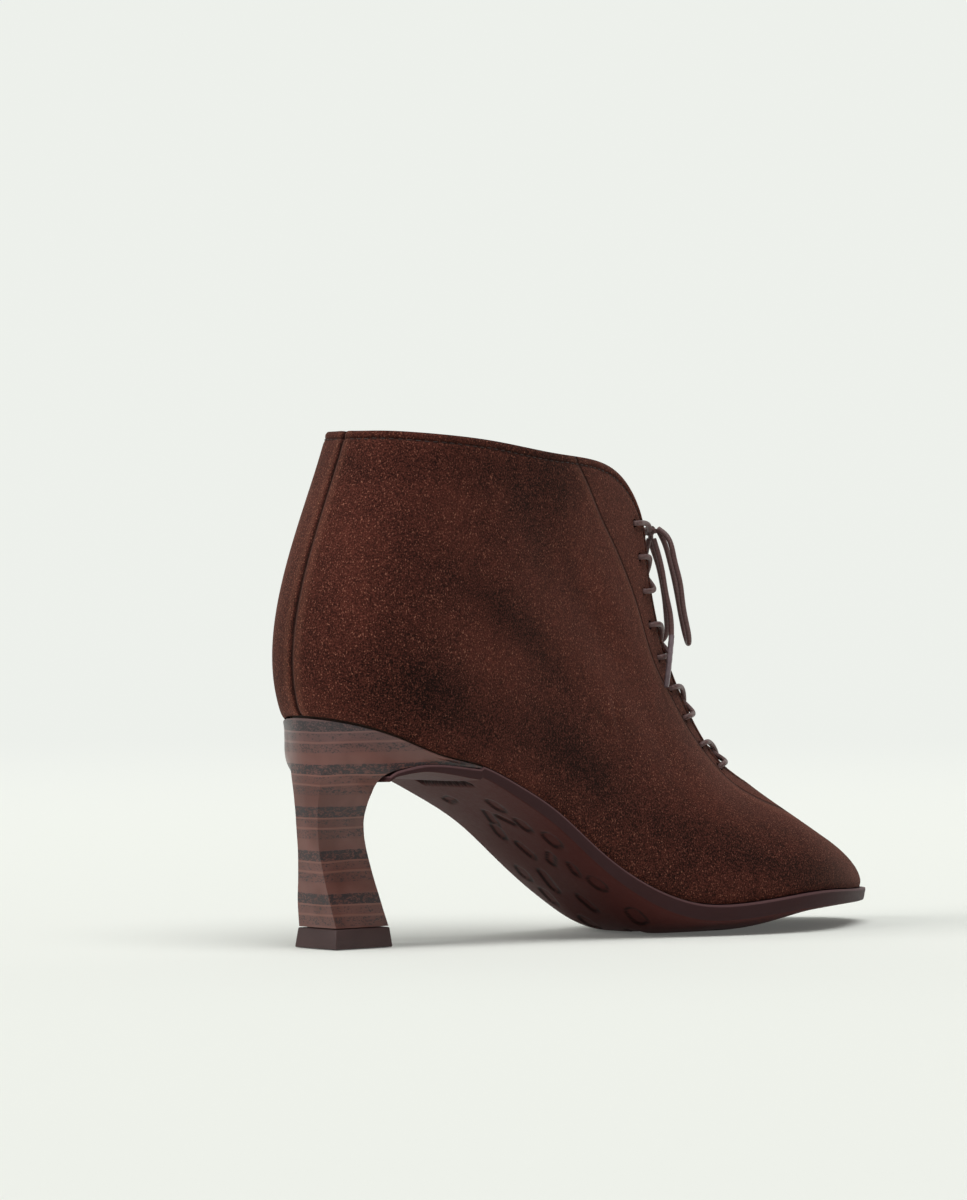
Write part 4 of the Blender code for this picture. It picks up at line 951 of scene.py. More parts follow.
class Workshop:
    """Shared steps: from bmesh or arrays to a dressed piece that rides on the model."""

    @staticmethod
    def sheet(build: Build, points: Array, values: dict[str, Array] | None = None) -> None:
        """A grid laid over a surface.

        Args:
            build: the mesh that the grid joins.
            points: places by row and column.
            values: named numbers for each vertex, by row and column.
        """
        rows, columns = points.shape[:2]
        made = bmesh.ops.create_grid(build, x_segments=rows - 1, y_segments=columns - 1, size=0.5)
        layers = {name: build.verts.layers.float.get(name) or build.verts.layers.float.new(name)
                  for name in (values or {})}
        build.verts.ensure_lookup_table()
        verts = build.verts[-rows * columns:] if layers else made["verts"]
        for vert in verts:
            row = round((vert.co.x + 0.5) * (rows - 1))
            place = round((vert.co.y + 0.5) * (columns - 1))
            vert.co = points[row, place]
            for name, layer in layers.items():
                vert[layer] = values[name][row, place]

    @staticmethod
    def close(build: Build, merge: float = 1e-6) -> None:
        """Join the doubles and fill the open ends."""
        bmesh.ops.remove_doubles(build, verts=build.verts, dist=merge)
        bmesh.ops.holes_fill(build, edges=[edge for edge in build.edges if edge.is_boundary], sides=0)

    @staticmethod
    def mesh(build: Build, name: str, merge: float = 1e-6, sharp: float = 40.0) -> Mesh:
        """Join the doubles, turn the faces out and shade the mesh.

        Args:
            build: the finished shape, which is freed.
            name: the mesh's name.
            merge: distance under which vertices join.
            sharp: angle in degrees over which an edge stays sharp.

        Returns:
            The mesh.
        """
        bmesh.ops.remove_doubles(build, verts=build.verts, dist=merge)
        bmesh.ops.recalc_face_normals(build, faces=build.faces)
        mesh = bpy.data.meshes.new(name)
        build.to_mesh(mesh)
        build.free()
        mesh.shade_smooth()
        mesh.set_sharp_from_angle(angle=math.radians(sharp))
        return mesh

    @staticmethod
    def piece(name: str, data: bpy.types.ID, materials: Sequence[Material], slot: Slot,
              nodes: Iterable[str] = ()) -> Placed:
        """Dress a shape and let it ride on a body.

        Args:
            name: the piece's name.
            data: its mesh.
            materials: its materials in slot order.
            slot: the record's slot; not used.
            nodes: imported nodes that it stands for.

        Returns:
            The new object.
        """
        made = Workshop.placed(name, data)
        for material in materials:
            data.materials.append(material)
        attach(made, BODY)
        if nodes:
            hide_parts(*nodes)
        LOG.info("%s rides on %s", name, BODY)
        return made

    @staticmethod
    def applied(name: str, source: Placed) -> Mesh:
        """The mesh that an object's modifiers give.

        Args:
            name: the mesh's name.
            source: the object, which is removed.

        Returns:
            The mesh.
        """
        graph = bpy.context.evaluated_depsgraph_get()
        graph.update()
        mesh = bpy.data.meshes.new_from_object(source.evaluated_get(graph), depsgraph=graph)
        mesh.name = name
        bpy.data.objects.remove(source, do_unlink=True)
        return mesh

    @staticmethod
    def placed(name: str, data: bpy.types.ID) -> Placed:
        """A new object in the scene.

        Args:
            name: the object's name.
            data: its mesh, light or camera.

        Returns:
            The object.
        """
        made = bpy.data.objects.new(name, data)
        bpy.context.scene.collection.objects.link(made)
        return made

    @staticmethod
    def sweep(build: Build, path: Array, radius: Callable[[float], float] | float,
              sides: int = 14, start: float = 0.0) -> None:
        """A round cord along a path, with its run and turn stored for the braid.

        Args:
            build: the mesh that the cord joins.
            path: points of its middle line.
            radius: its radius, or a function of the share along it.
            sides: sides of its section.
            start: run of the braid at its start.
        """
        layers = [build.verts.layers.float.get(name) or build.verts.layers.float.new(name)
                  for name in ("run", "turn")]
        runs = running(path)
        normal = Vector((0.0, 1.0, 0.0))
        points = [Vector(p) for p in path]
        before: list[bmesh.types.BMEdge] = []
        for index, point in enumerate(points):
            ahead = points[min(index + 1, len(points) - 1)] - points[max(index - 1, 0)]
            ahead.normalize()
            normal = (normal - ahead * normal.dot(ahead)).normalized()
            reach = radius(runs[index] / runs[-1]) if callable(radius) else radius
            turn = Matrix((ahead.cross(normal), normal, ahead)).transposed().to_4x4()
            turn.translation = point
            ring = bmesh.ops.create_circle(build, cap_ends=index in (0, len(points) - 1),
                                           segments=sides, radius=reach, matrix=turn)["verts"]
            for step, vert in enumerate(ring):
                vert[layers[0]] = (start + runs[index]) / MM
                vert[layers[1]] = 2.0 * math.pi * step / sides
            edges = list(dict.fromkeys(edge for vert in ring for edge in vert.link_edges))
            if before:
                bmesh.ops.bridge_loops(build, edges=before + edges)
            before = edges

    @staticmethod
    def smooth_route(points: Sequence[Point], spacing: float) -> Array:
        """Points at a spacing along one smooth curve through a route's own points.

        Args:
            points: the route.
            spacing: distance between the new points.

        Returns:
            The new points.
        """
        route = np.array([tuple(p) for p in points])
        return resampled(route, max(int(round(running(route)[-1] / spacing)), 4) + 1)


@dataclass(frozen=True)
class Streak:
    """A long soft spot on the upper, in millimetres and degrees: a crease, or a patch of painted darker
    or lighter suede.
    """

    x: float
    z: float
    turn: float
    reach: float
    width: float
    strength: float
    side: Side = Side.LATERAL

    def over(self, points: Array) -> Array:
        """Strength of the streak over the skin.

        Args:
            points: points of the skin.

        Returns:
            The strength at each point.
        """
        angle = math.radians(self.turn)
        dx = points[..., 0] / MM - self.x
        dz = points[..., 2] / MM - self.z
        along = dx * math.cos(angle) + dz * math.sin(angle)
        across = dz * math.cos(angle) - dx * math.sin(angle)
        return self.strength * bell(along, self.reach) * bell(across, self.width)


# Ridges and troughs of one side each, by their height in millimetres.
CREASES = (
    Streak(84.0, 96.0, -48.0, 26.0, 7.0, -0.9), Streak(94.0, 104.0, -50.0, 20.0, 6.0, 0.5),
    Streak(70.0, 88.0, -42.0, 24.0, 7.0, 0.45), Streak(58.0, 120.0, -70.0, 26.0, 9.0, -0.5),
    Streak(40.0, 100.0, -80.0, 30.0, 10.0, 0.4), Streak(88.0, 69.5, -80.0, 6.0, 1.5, 0.35),
    Streak(90.0, 69.0, -80.0, 7.0, 1.2, -0.45), Streak(112.0, 58.0, -60.0, 16.0, 6.0, -0.5),
    Streak(150.0, 30.0, -25.0, 18.0, 6.0, 0.3),
    Streak(82.0, 96.0, -50.0, 24.0, 7.0, -0.8, Side.MEDIAL),
    Streak(66.0, 112.0, -68.0, 24.0, 8.0, -0.5, Side.MEDIAL),
    Streak(108.0, 62.0, -60.0, 16.0, 6.0, -0.5, Side.MEDIAL),
)
# Places on both sides where the suede is painted darker or lighter: the pile's own patches, painted shade
# in creases and along the lower wall and the sole, and painted highlights along the back strip and the
# toe.
PAINTED_LIGHT_AND_PILE_PATCHES = (
    Streak(38.0, 101.0, -33.0, 21.0, 5.5, -0.95), Streak(60.0, 84.0, -40.0, 16.0, 6.0, -0.45),
    Streak(20.0, 94.0, -28.0, 24.0, 7.0, 0.35), Streak(10.0, 79.0, -30.0, 10.0, 4.5, -0.50),
    Streak(50.0, 131.0, -58.0, 14.0, 6.5, -0.55), Streak(30.0, 138.0, -10.0, 18.0, 6.0, 0.25),
    Streak(84.0, 107.0, -50.0, 17.0, 4.0, 0.40), Streak(74.0, 108.0, -60.0, 14.0, 5.0, -0.40),
    Streak(70.0, 56.0, -36.0, 22.0, 8.0, -0.60), Streak(104.0, 64.0, -42.0, 24.0, 9.0, 0.50),
    Streak(120.0, 30.0, -20.0, 34.0, 7.0, -0.65), Streak(150.0, 42.0, -30.0, 22.0, 6.0, 0.40),
    Streak(172.0, 33.0, -27.0, 20.0, 5.0, 0.50), Streak(168.0, 18.0, -2.0, 30.0, 5.0, -0.65),
    Streak(-9.0, 112.0, 80.0, 36.0, 6.0, 0.40), Streak(30.0, 68.0, -16.0, 40.0, 11.0, -0.75),
    Streak(62.0, 141.0, -55.0, 18.0, 8.0, -0.60), Streak(20.0, 143.0, -8.0, 34.0, 6.0, -0.45),
)
# Close rows of the skin in millimetres: before the back seam, about the throat's end, below
# the top edge and above the foot.
BACK_STEPS = (0.0, 0.35, 0.7, 1.05, 1.45, 1.9, 2.4, 3.0, 3.8, 4.8)
THROAT_STEPS = (-1.6, -0.8, -0.3, 0.3, 0.8, 1.6)
TOP_STEPS = (4.6, 3.9, 3.3, 2.9, 2.6, 2.3, 2.0, 1.6, 1.2, 0.8, 0.45, 0.2, 0.0)
FOOT_STEPS = (0.0, 0.35, 0.8, 1.4, 2.2, 3.2)


@dataclass
class Upper:
    """The suede shell with its holes, seams, lining and stitches."""

    last: BootLast
    wall: float = 1.8 * MM
    lace_rows: int = 9
    hole_diameter: float = 2.6 * MM
    hole_ahead: float = 6.364 * MM
    hole_aside: float = 5.762 * MM
    first_hole: float = 11.0 * MM
    top_hole: float = 128.0 * MM
    zip_width: float = 5.2 * MM
    blade_reach: float = 25.2 * MM
    zip_top_x: float = 31.0 * MM
    zip_bottom_x: float = 27.0 * MM
    zip_above: float = 16.0 * MM
    no_edge: float = 60.0
    places: int = 150
    heights: int = 74

    def __post_init__(self) -> None:
        """Prepare the places round the boot and the search tree of its skin."""
        last = self.last
        middle = np.linspace(0.0, last.around - 6.0 * MM, self.places)
        near = last.around - np.array(BACK_STEPS) * MM
        fine = last.throat + np.array(THROAT_STEPS) * MM
        self.u = np.sort(np.concatenate([middle, near, fine]))
        build = bmesh.new()
        for side in Side:
            skin = last.skin(np.linspace(0.0, last.around, 90), np.linspace(0.0, 1.0, 40), side)
            Workshop.sheet(build, skin)
        bmesh.ops.remove_doubles(build, verts=build.verts, dist=1e-6)
        bmesh.ops.recalc_face_normals(build, faces=build.faces)
        self.tree = BVHTree.FromBMesh(build)
        build.free()

    def _rows(self, side: Side) -> Array:
        """Heights for each place: a few close under the top edge and at the foot.

        Args:
            side: which side of the boot.

        Returns:
            Heights from 0 to 1 by place.
        """
        samples = np.linspace(0.0, 1.0, 60)
        top, foot = np.array(TOP_STEPS) * MM, np.array(FOOT_STEPS) * MM
        rows = []
        for run in running(self.last.skin(self.u, samples, side)):
            scale = min(1.0, 0.3 * run[-1] / top[0])
            middle = np.linspace(foot[-1] * scale, run[-1] - top[0] * scale,
                                 self.heights - len(top) - len(foot) + 2)[1:-1]
            wanted = np.concatenate([foot * scale, middle, run[-1] - top * scale])
            rows.append(np.interp(wanted, run, samples))
        return np.array(rows)

    def from_facing(self, points: Array) -> Array:
        """Distance in millimetres to the front panel's seam, positive ahead of it.

        Args:
            points: points of the skin.

        Returns:
            The signed distance of each point.
        """
        seam = resampled(np.array(FACING_SEAM), 160)
        flat = points[..., [0, 2]].reshape(-1, 2) / MM
        gaps = np.linalg.norm(flat[:, None] - seam[None], axis=2)
        closest = np.argmin(gaps, axis=1)
        nearest = np.clip(closest, 1, len(seam) - 2)
        ahead = seam[nearest + 1] - seam[nearest - 1]
        offset = flat - seam[nearest]
        cross = ahead[:, 0] * offset[:, 1] - ahead[:, 1] * offset[:, 0]
        across = cross / np.linalg.norm(ahead, axis=1)
        past = (closest >= len(seam) - 2) | (closest <= 1)
        size = np.maximum(np.min(gaps, axis=1), np.abs(across))
        return np.where(past, np.sign(across) * size, across).reshape(points.shape[:-1])

    @staticmethod
    def _relief(points: Array, low: Array, high: Array, around: Array, side: Side) -> Array:
        """Height over the plain skin: creases, back seam, stitched line and tucked edges.

        Args:
            points: points of the skin.
            low: millimetres above the foot.
            high: millimetres below the top edge.
            around: millimetres from the back seam.
            side: which side of the boot.

        Returns:
            The height in metres.
        """
        rise = sum(crease.over(points) for crease in CREASES if crease.side is side)
        rise = rise * np.clip((high - 3.0) / 12.0, 0.0, 1.0) * np.clip((low - 2.0) / 8.0, 0.0, 1.0)
        rise += 0.16 * bell(around - 2.6, 1.8) * np.clip(around, 0.0, 1.0) - 0.42 * bell(around, 0.75)
        rise += 0.06 * bell(high - 1.1, 0.9) - 0.30 * bell(high - 2.4, 0.75)
        rise -= 0.30 * bell(high, 0.45) + 0.5 * bell(low, 1.3)
        return rise * MM

    def skin_sheets(self) -> Build:
        """The outer surface with its creases and tucked edges.

        Returns:
            One open mesh with the seam distances and the patches of pile tone, painted shade and painted
            highlight on its vertices.
        """
        build = bmesh.new()
        last = self.last
        for side in Side:
            v = self._rows(side)
            points = last.skin(self.u, v, side)
            low = running(points) / MM
            opened = self.u > last.throat + 1e-6
            high = np.where(opened[:, None], low[:, -1:] - low, self.no_edge)
            around = (last.around - self.u)[:, None] / MM * np.ones_like(low)
            rise = self._relief(points, low, high, around, side)
            # Painted shade and highlight, with the pile's own patches, kept on the vertices for the
            # suede's colour.
            nap = sum(patch.over(points) for patch in PAINTED_LIGHT_AND_PILE_PATCHES)
            values = {"from_facing": self.from_facing(points), "from_top": high,
                      "from_back": around * side.value, "nap": nap}
            raised = points + last.normals(self.u, v, side) * rise[:, :, None]
            Workshop.sheet(build, raised, values)
        return build

    def edge_points(self) -> list[Vector]:
        """Places of the lateral throat edge at the lace rows.

        Returns:
            One place for each row, bottom row first.
        """
        edge = self.last.top(np.linspace(self.last.throat, self.last.collar, 240), Side.LATERAL)
        run = running(edge[:, [0, 2]])
        top_run = float(np.interp(self.top_hole, edge[:, 2], run))
        return [Vector([float(np.interp(place, run, edge[:, axis])) for axis in range(3)])
                for place in np.linspace(self.first_hole, top_run, self.lace_rows)]

    def hole_spots(self) -> list[dict[Side, tuple[Vector, Vector]]]:
        """Place and normal of the lace holes on the surface.

        Returns:
            The two sides' holes of each row, bottom row first.
        """
        rows = []
        for edge in self.edge_points():
            pair = {}
            for side in Side:
                aside = Vector((edge.x - self.hole_ahead,
                                side.value * (abs(edge.y) + self.hole_aside), edge.z))
                pair[side] = self.tree.find_nearest(aside)[:2]
            rows.append(pair)
        return rows

    def zip_spot(self, share: float, across: float = 0.0) -> tuple[Vector | None, Vector | None]:
        """Place and normal on the medial surface along the zip.

        Args:
            share: 0 at the zip's foot, 1 at the collar.
            across: distance to the zip's side.

        Returns:
            The place and the normal, or nothing past the surface.
        """
        low = float(self.last.feather_height(self.zip_bottom_x)[0]) + self.zip_above
        x = self.zip_bottom_x + (self.zip_top_x - self.zip_bottom_x) * share + across
        start = Vector((x, self.last.ball_width, low + (self.last.boot_height - low) * share))
        return self.tree.ray_cast(start, Vector((0.0, -1.0, 0.0)))[:2]

    def _cutters(self) -> Placed:
        """Punches for the holes and a blade with a round end for the zip.

        Returns:
            One object with all of them.
        """
        build = bmesh.new()
        punch = 0.5 * self.hole_diameter
        for row in self.hole_spots():
            for spot, normal in row.values():
                turn = normal.to_track_quat("Z", "Y").to_matrix().to_4x4()
                turn.translation = spot - normal * 0.5 * self.wall
                bmesh.ops.create_cone(build, cap_ends=True, segments=20, radius1=punch,
                                      radius2=punch, depth=3.0 * self.wall, matrix=turn)
        half = 0.5 * self.zip_width
        low = self.zip_spot(0.0)[0]
        high = self.last.boot_height + 4.0 * self.wall
        slope = (self.zip_top_x - self.zip_bottom_x) / (self.last.boot_height - low.z)
        turn = Matrix.Rotation(math.radians(90.0), 4, "X")
        turn.translation = Vector((low.x, low.y, low.z + half))
        blade = bmesh.ops.create_circle(build, cap_ends=True, segments=24, radius=half,
                                        matrix=turn)["verts"]
        for vert in blade:
            if vert.co.z > low.z + half:
                vert.co.z = high
                vert.co.x += slope * (high - low.z)
        face = [face for face in build.faces if set(face.verts) == set(blade)]
        bmesh.ops.translate(build, verts=blade, vec=(0.0, -self.blade_reach, 0.0))
        pulled = bmesh.ops.extrude_face_region(build, geom=face)["geom"]
        tops = [item for item in pulled if isinstance(item, bmesh.types.BMVert)]
        bmesh.ops.translate(build, verts=tops, vec=(0.0, 2.0 * self.blade_reach, 0.0))
        bmesh.ops.recalc_face_normals(build, faces=build.faces)
        mesh = bpy.data.meshes.new("punches")
        build.to_mesh(mesh)
        build.free()
        return Workshop.placed("punches", mesh)

    def build(self, *materials: Material) -> Placed:
        """Make the shell.

        Args:
            materials: those of the outside, the inside and the cut edges.

        Returns:
            The upper.
        """
        mesh = Workshop.mesh(self.skin_sheets(), "shell_skin")
        shell = Workshop.placed("shell", mesh)
        for material in materials:
            mesh.materials.append(material)
        wall = shell.modifiers.new("wall", "SOLIDIFY")
        wall.thickness = self.wall
        wall.offset = -1.0
        wall.use_even_offset = True
        wall.use_quality_normals = True
        wall.material_offset = 1
        wall.material_offset_rim = 2
        cutters = self._cutters()
        punch = shell.modifiers.new("punch", "BOOLEAN")
        punch.operation = "DIFFERENCE"
        punch.object = cutters
        punch.solver = "FAST"
        made = Workshop.applied("upper_shell", shell)
        bpy.data.objects.remove(cutters, do_unlink=True)
        made.shade_smooth()
        made.set_sharp_from_angle(angle=math.radians(50.0))
        return Workshop.piece("upper_shell", made, (), Slot.SUEDE, ["upper"])


@dataclass(frozen=True)
class SoleMark:
    """A round-ended mark sunk into the sole: its middle, half length, half width and turn."""

    x: float
    y: float
    reach: float
    half: float
    turn: float

    def outside(self, x: Array, y: Array) -> Array:
        """Distance in millimetres past the mark's outline, negative within it.

        Args:
            x: places along the boot in millimetres.
            y: places across the boot in millimetres.

        Returns:
            The distances.
        """
        angle = math.radians(self.turn)
        along = (x - self.x) * math.cos(angle) + (y - self.y) * math.sin(angle)
        across = (y - self.y) * math.cos(angle) - (x - self.x) * math.sin(angle)
        past = np.maximum(np.abs(along) - (self.reach - self.half), 0.0)
        return np.hypot(past, across) - self.half


SOLE_MARKS = (
    SoleMark(46.7, 6.5, 3.4, 1.5, 70.0), SoleMark(49.5, -12.0, 3.6, 2.2, 15.0),
    SoleMark(56.5, -1.5, 4.6, 1.6, 30.0), SoleMark(57.5, -7.5, 3.2, 1.3, -40.0),
    SoleMark(60.0, -12.5, 3.2, 2.0, 10.0), SoleMark(63.5, 3.0, 3.6, 1.8, 25.0),
    SoleMark(67.0, -18.0, 3.2, 2.6, 0.0), SoleMark(71.0, -1.0, 3.4, 1.7, -15.0),
    SoleMark(74.0, -9.5, 3.4, 1.3, 50.0), SoleMark(78.5, -15.0, 2.8, 1.3, 20.0),
    SoleMark(82.0, 12.5, 3.6, 2.2, 30.0), SoleMark(84.0, 3.0, 5.4, 1.7, 20.0),
    SoleMark(85.0, -18.5, 3.2, 2.6, 0.0), SoleMark(92.0, 12.0, 3.6, 2.2, 10.0),
    SoleMark(93.0, -5.0, 3.6, 1.8, -20.0), SoleMark(100.0, -20.0, 4.0, 2.5, 12.0),
    SoleMark(103.0, 5.0, 4.4, 2.4, 10.0), SoleMark(110.0, -9.0, 4.6, 2.6, 18.0),
    SoleMark(116.0, -4.0, 5.6, 2.9, -10.0), SoleMark(130.0, 18.0, 5.6, 2.9, 0.0),
    SoleMark(134.0, -18.0, 5.6, 2.9, 12.0), SoleMark(150.0, 2.0, 5.6, 2.9, 5.0),
    SoleMark(166.0, -12.0, 5.0, 2.6, -10.0), SoleMark(172.0, 12.0, 5.0, 2.6, 15.0),
)


@dataclass
class Sole:
    """The moulded sole with its bevelled top edge and the marks under its waist."""

    last: BootLast
    edge: float = 4.6 * MM
    ledge: float = 1.2 * MM
    rear_thickness: float = 1.6 * MM
    flat_half: float = 0.30
    flat_from: float = 0.590
    flat_to: float = 0.655
    room: float = 0.14
    spine_to: float = 0.955
    draft: float = 0.12
    bevel: float = 0.5 * MM
    tip_length: float = 23.5 * MM
    wing_length: float = 48.3 * MM
    wing_edge: float = 0.7 * MM
    mark_depth: float = 0.55 * MM
    bar_x: float = 35.4
    bar_y: float = -4.3
    bar_half: float = 11.8
    bar_wide: float = 1.4
    rib_pitch: float = 1.6
    rib_depth: float = 0.35
    stations: int = 240
    shares: int = 40

    def wing_tip(self) -> float:
        """World x of the tips of the heel's wings."""
        return self.wing_length - self.last.seat_overhang

    def wing_height(self, x: Array) -> Array:
        """Height of the lower edge of the heel's wings.

        Args:
            x: world places along the boot.

        Returns:
            The height at each place.
        """
        rows = HEEL_ROWS[-3:]
        at = [row[0] * self.tip_length for row in rows] + [self.wing_tip()]
        height = [row[2] * self.last.heel_height for row in rows]
        height.append(float(self.last.feather_height(self.wing_tip())[0]) - self.wing_edge)
        return steady(x, np.array(at), np.array(height))

    def _columns(self, x: Array) -> tuple[Array, Array, Array]:
        """Sizes of the sole's section.

        Args:
            x: world places along the boot.

        Returns:
            Height of the side wall, crown and width of the ledge.
        """
        at = self.last.along(column(SOLE_SHAPE, SOLE_COLUMNS, "at"))
        sizes = {"edge": self.edge, "crown": self.last.forepart_height, "ledge": self.ledge}
        return tuple(steady(x, at, column(SOLE_SHAPE, SOLE_COLUMNS, name)) * size
                     for name, size in sizes.items())

    def _tread(self, x: Array, side_foot: Array, crown: Array) -> Array:
        """Height of the middle of the tread.

        Args:
            x: world places along the boot.
            side_foot: height of the side wall's foot there.
            crown: how far the middle lies below it.

        Returns:
            The height at each place.
        """
        start, end = self.last.along(self.flat_from), self.last.along(self.flat_to)
        room = self.room * self.last.length
        blend = np.clip(np.maximum(start - x, x - end) / room, 0.0, 1.0)
        blend = blend * blend * (3.0 - 2.0 * blend)
        return blend * np.maximum(side_foot - crown, 0.0)

    def _half(self, side: Side, places: Array) -> tuple[Array, Array, Array]:
        """Rings of one half of the sole.

        Args:
            side: which side of the boot.
            places: places from the toe to the sole's rear end.

        Returns:
            The points, and the shares of painted highlight along the edge and of tread at each.
        """
        last, bevel = self.last, self.bevel
        feather, outward = last.feather(places, side)
        x, _y, z = feather.T
        edge, crown, ledge = self._columns(x)
        tip = self.wing_tip()
        top = np.where(x < tip + 0.2 * MM, self.wing_height(x) - last.clearance, z)
        edge = np.where(x < tip, np.maximum(edge, self.rear_thickness), edge)
        rim = feather + outward * ledge[:, None]
        rim[:, 2] = top
        foot = rim + outward * (-self.draft * edge)[:, None]
        foot[:, 2] = top - edge
        spine_x = np.minimum(x, last.along(self.spine_to))
        spine_y = last.middle_line(places)
        middle = self._tread(x, foot[:, 2], crown)
        down = np.array([0.0, 0.0, 1.0])
        # The second number of each layer is the painted highlight along the bevelled top edge; the third
        # is the share of tread.
        layers = [(np.stack([spine_x, spine_y, top], axis=1), 0.0, 0.0),
                  (rim - outward * 5.0 * bevel, 0.0, 0.0), (rim - outward * bevel, 1.0, 0.0),
                  (rim - (outward + down) * 0.15 * bevel, 1.0, 0.0), (rim - down * bevel, 0.8, 0.0),
                  (rim - down * 2.2 * bevel - outward * 0.1 * bevel, 0.0, 0.0),
                  (0.5 * (rim + foot) - outward * 0.02 * bevel, 0.0, 0.0),
                  (foot + down * 0.8 * bevel, 0.0, 0.0), (foot - outward * 0.6 * bevel, 0.3, 0.6)]
        for share in np.linspace(0.985, 0.0, self.shares):
            shape = max(share - self.flat_half, 0.0) / (1.0 - self.flat_half)
            height = middle + (foot[:, 2] - middle) * shape ** 1.8
            row = np.stack([spine_x + (foot[:, 0] - spine_x) * share,
                            spine_y + (foot[:, 1] - spine_y) * share, height], axis=1)
            layers.append((row, 0.0, 1.0))
        points, edge_highlight, tread = zip(*layers)
        ones = np.ones((len(places), 1))
        return np.stack(points, axis=1), ones * np.array(edge_highlight), ones * np.array(tread)

    def _marks(self, points: Array) -> tuple[Array, Array]:
        """Depth of the moulded marks and the painted shade round their outlines and in the bar's slot,
        each from 0 to 1.

        Args:
            points: points of the tread.

        Returns:
            Depth and painted shade.
        """
        x, y = points[..., 0] / MM, points[..., 1] / MM
        outside = np.min([mark.outside(x, y) for mark in SOLE_MARKS], axis=0)
        ribs = self.rib_depth * np.sin(2.0 * math.pi * y / self.rib_pitch)
        bar = np.maximum(np.abs(x - self.bar_x) - self.bar_wide - ribs,
                         np.abs(y - self.bar_y) - self.bar_half)
        nearest = np.minimum(outside, bar)
        sunk = np.clip(0.5 - nearest / 0.9, 0.0, 1.0)
        depth = sunk * sunk * (3.0 - 2.0 * sunk)
        edge = np.maximum(bell(nearest, 0.55), np.clip(0.5 - bar / 0.6, 0.0, 1.0))
        return depth * np.where(bar < outside, 1.8, 1.0), edge

    def build(self, finish: Material) -> Placed:
        """Make the sole.

        Args:
            finish: its material.

        Returns:
            The sole.
        """
        last = self.last
        rear = HEEL_ROWS[-3][0] * self.tip_length + last.clearance + 1.0 * MM
        places = np.linspace(0.0, last.place_of_x(rear), self.stations)
        places = np.sort(np.append(places, last.place_of_x(self.wing_tip())))
        build = bmesh.new()
        for side in Side:
            # rim holds the painted highlight along the bevelled top edge.
            points, rim, tread = self._half(side, places)
            # outline is the painted shade round the moulded marks, kept only on the tread.
            mark, outline = (value * (tread >= 1.0) for value in self._marks(points))
            points[..., 2] += mark * self.mark_depth
            Workshop.sheet(build, points, {"edge": rim, "tread": tread, "mark_edge": outline})
        Workshop.close(build, 2e-5)
        mesh = Workshop.mesh(build, "sole_body", sharp=42.0)
        return Workshop.piece("sole_body", mesh, [finish], Slot.SOLE, ["outsole"])


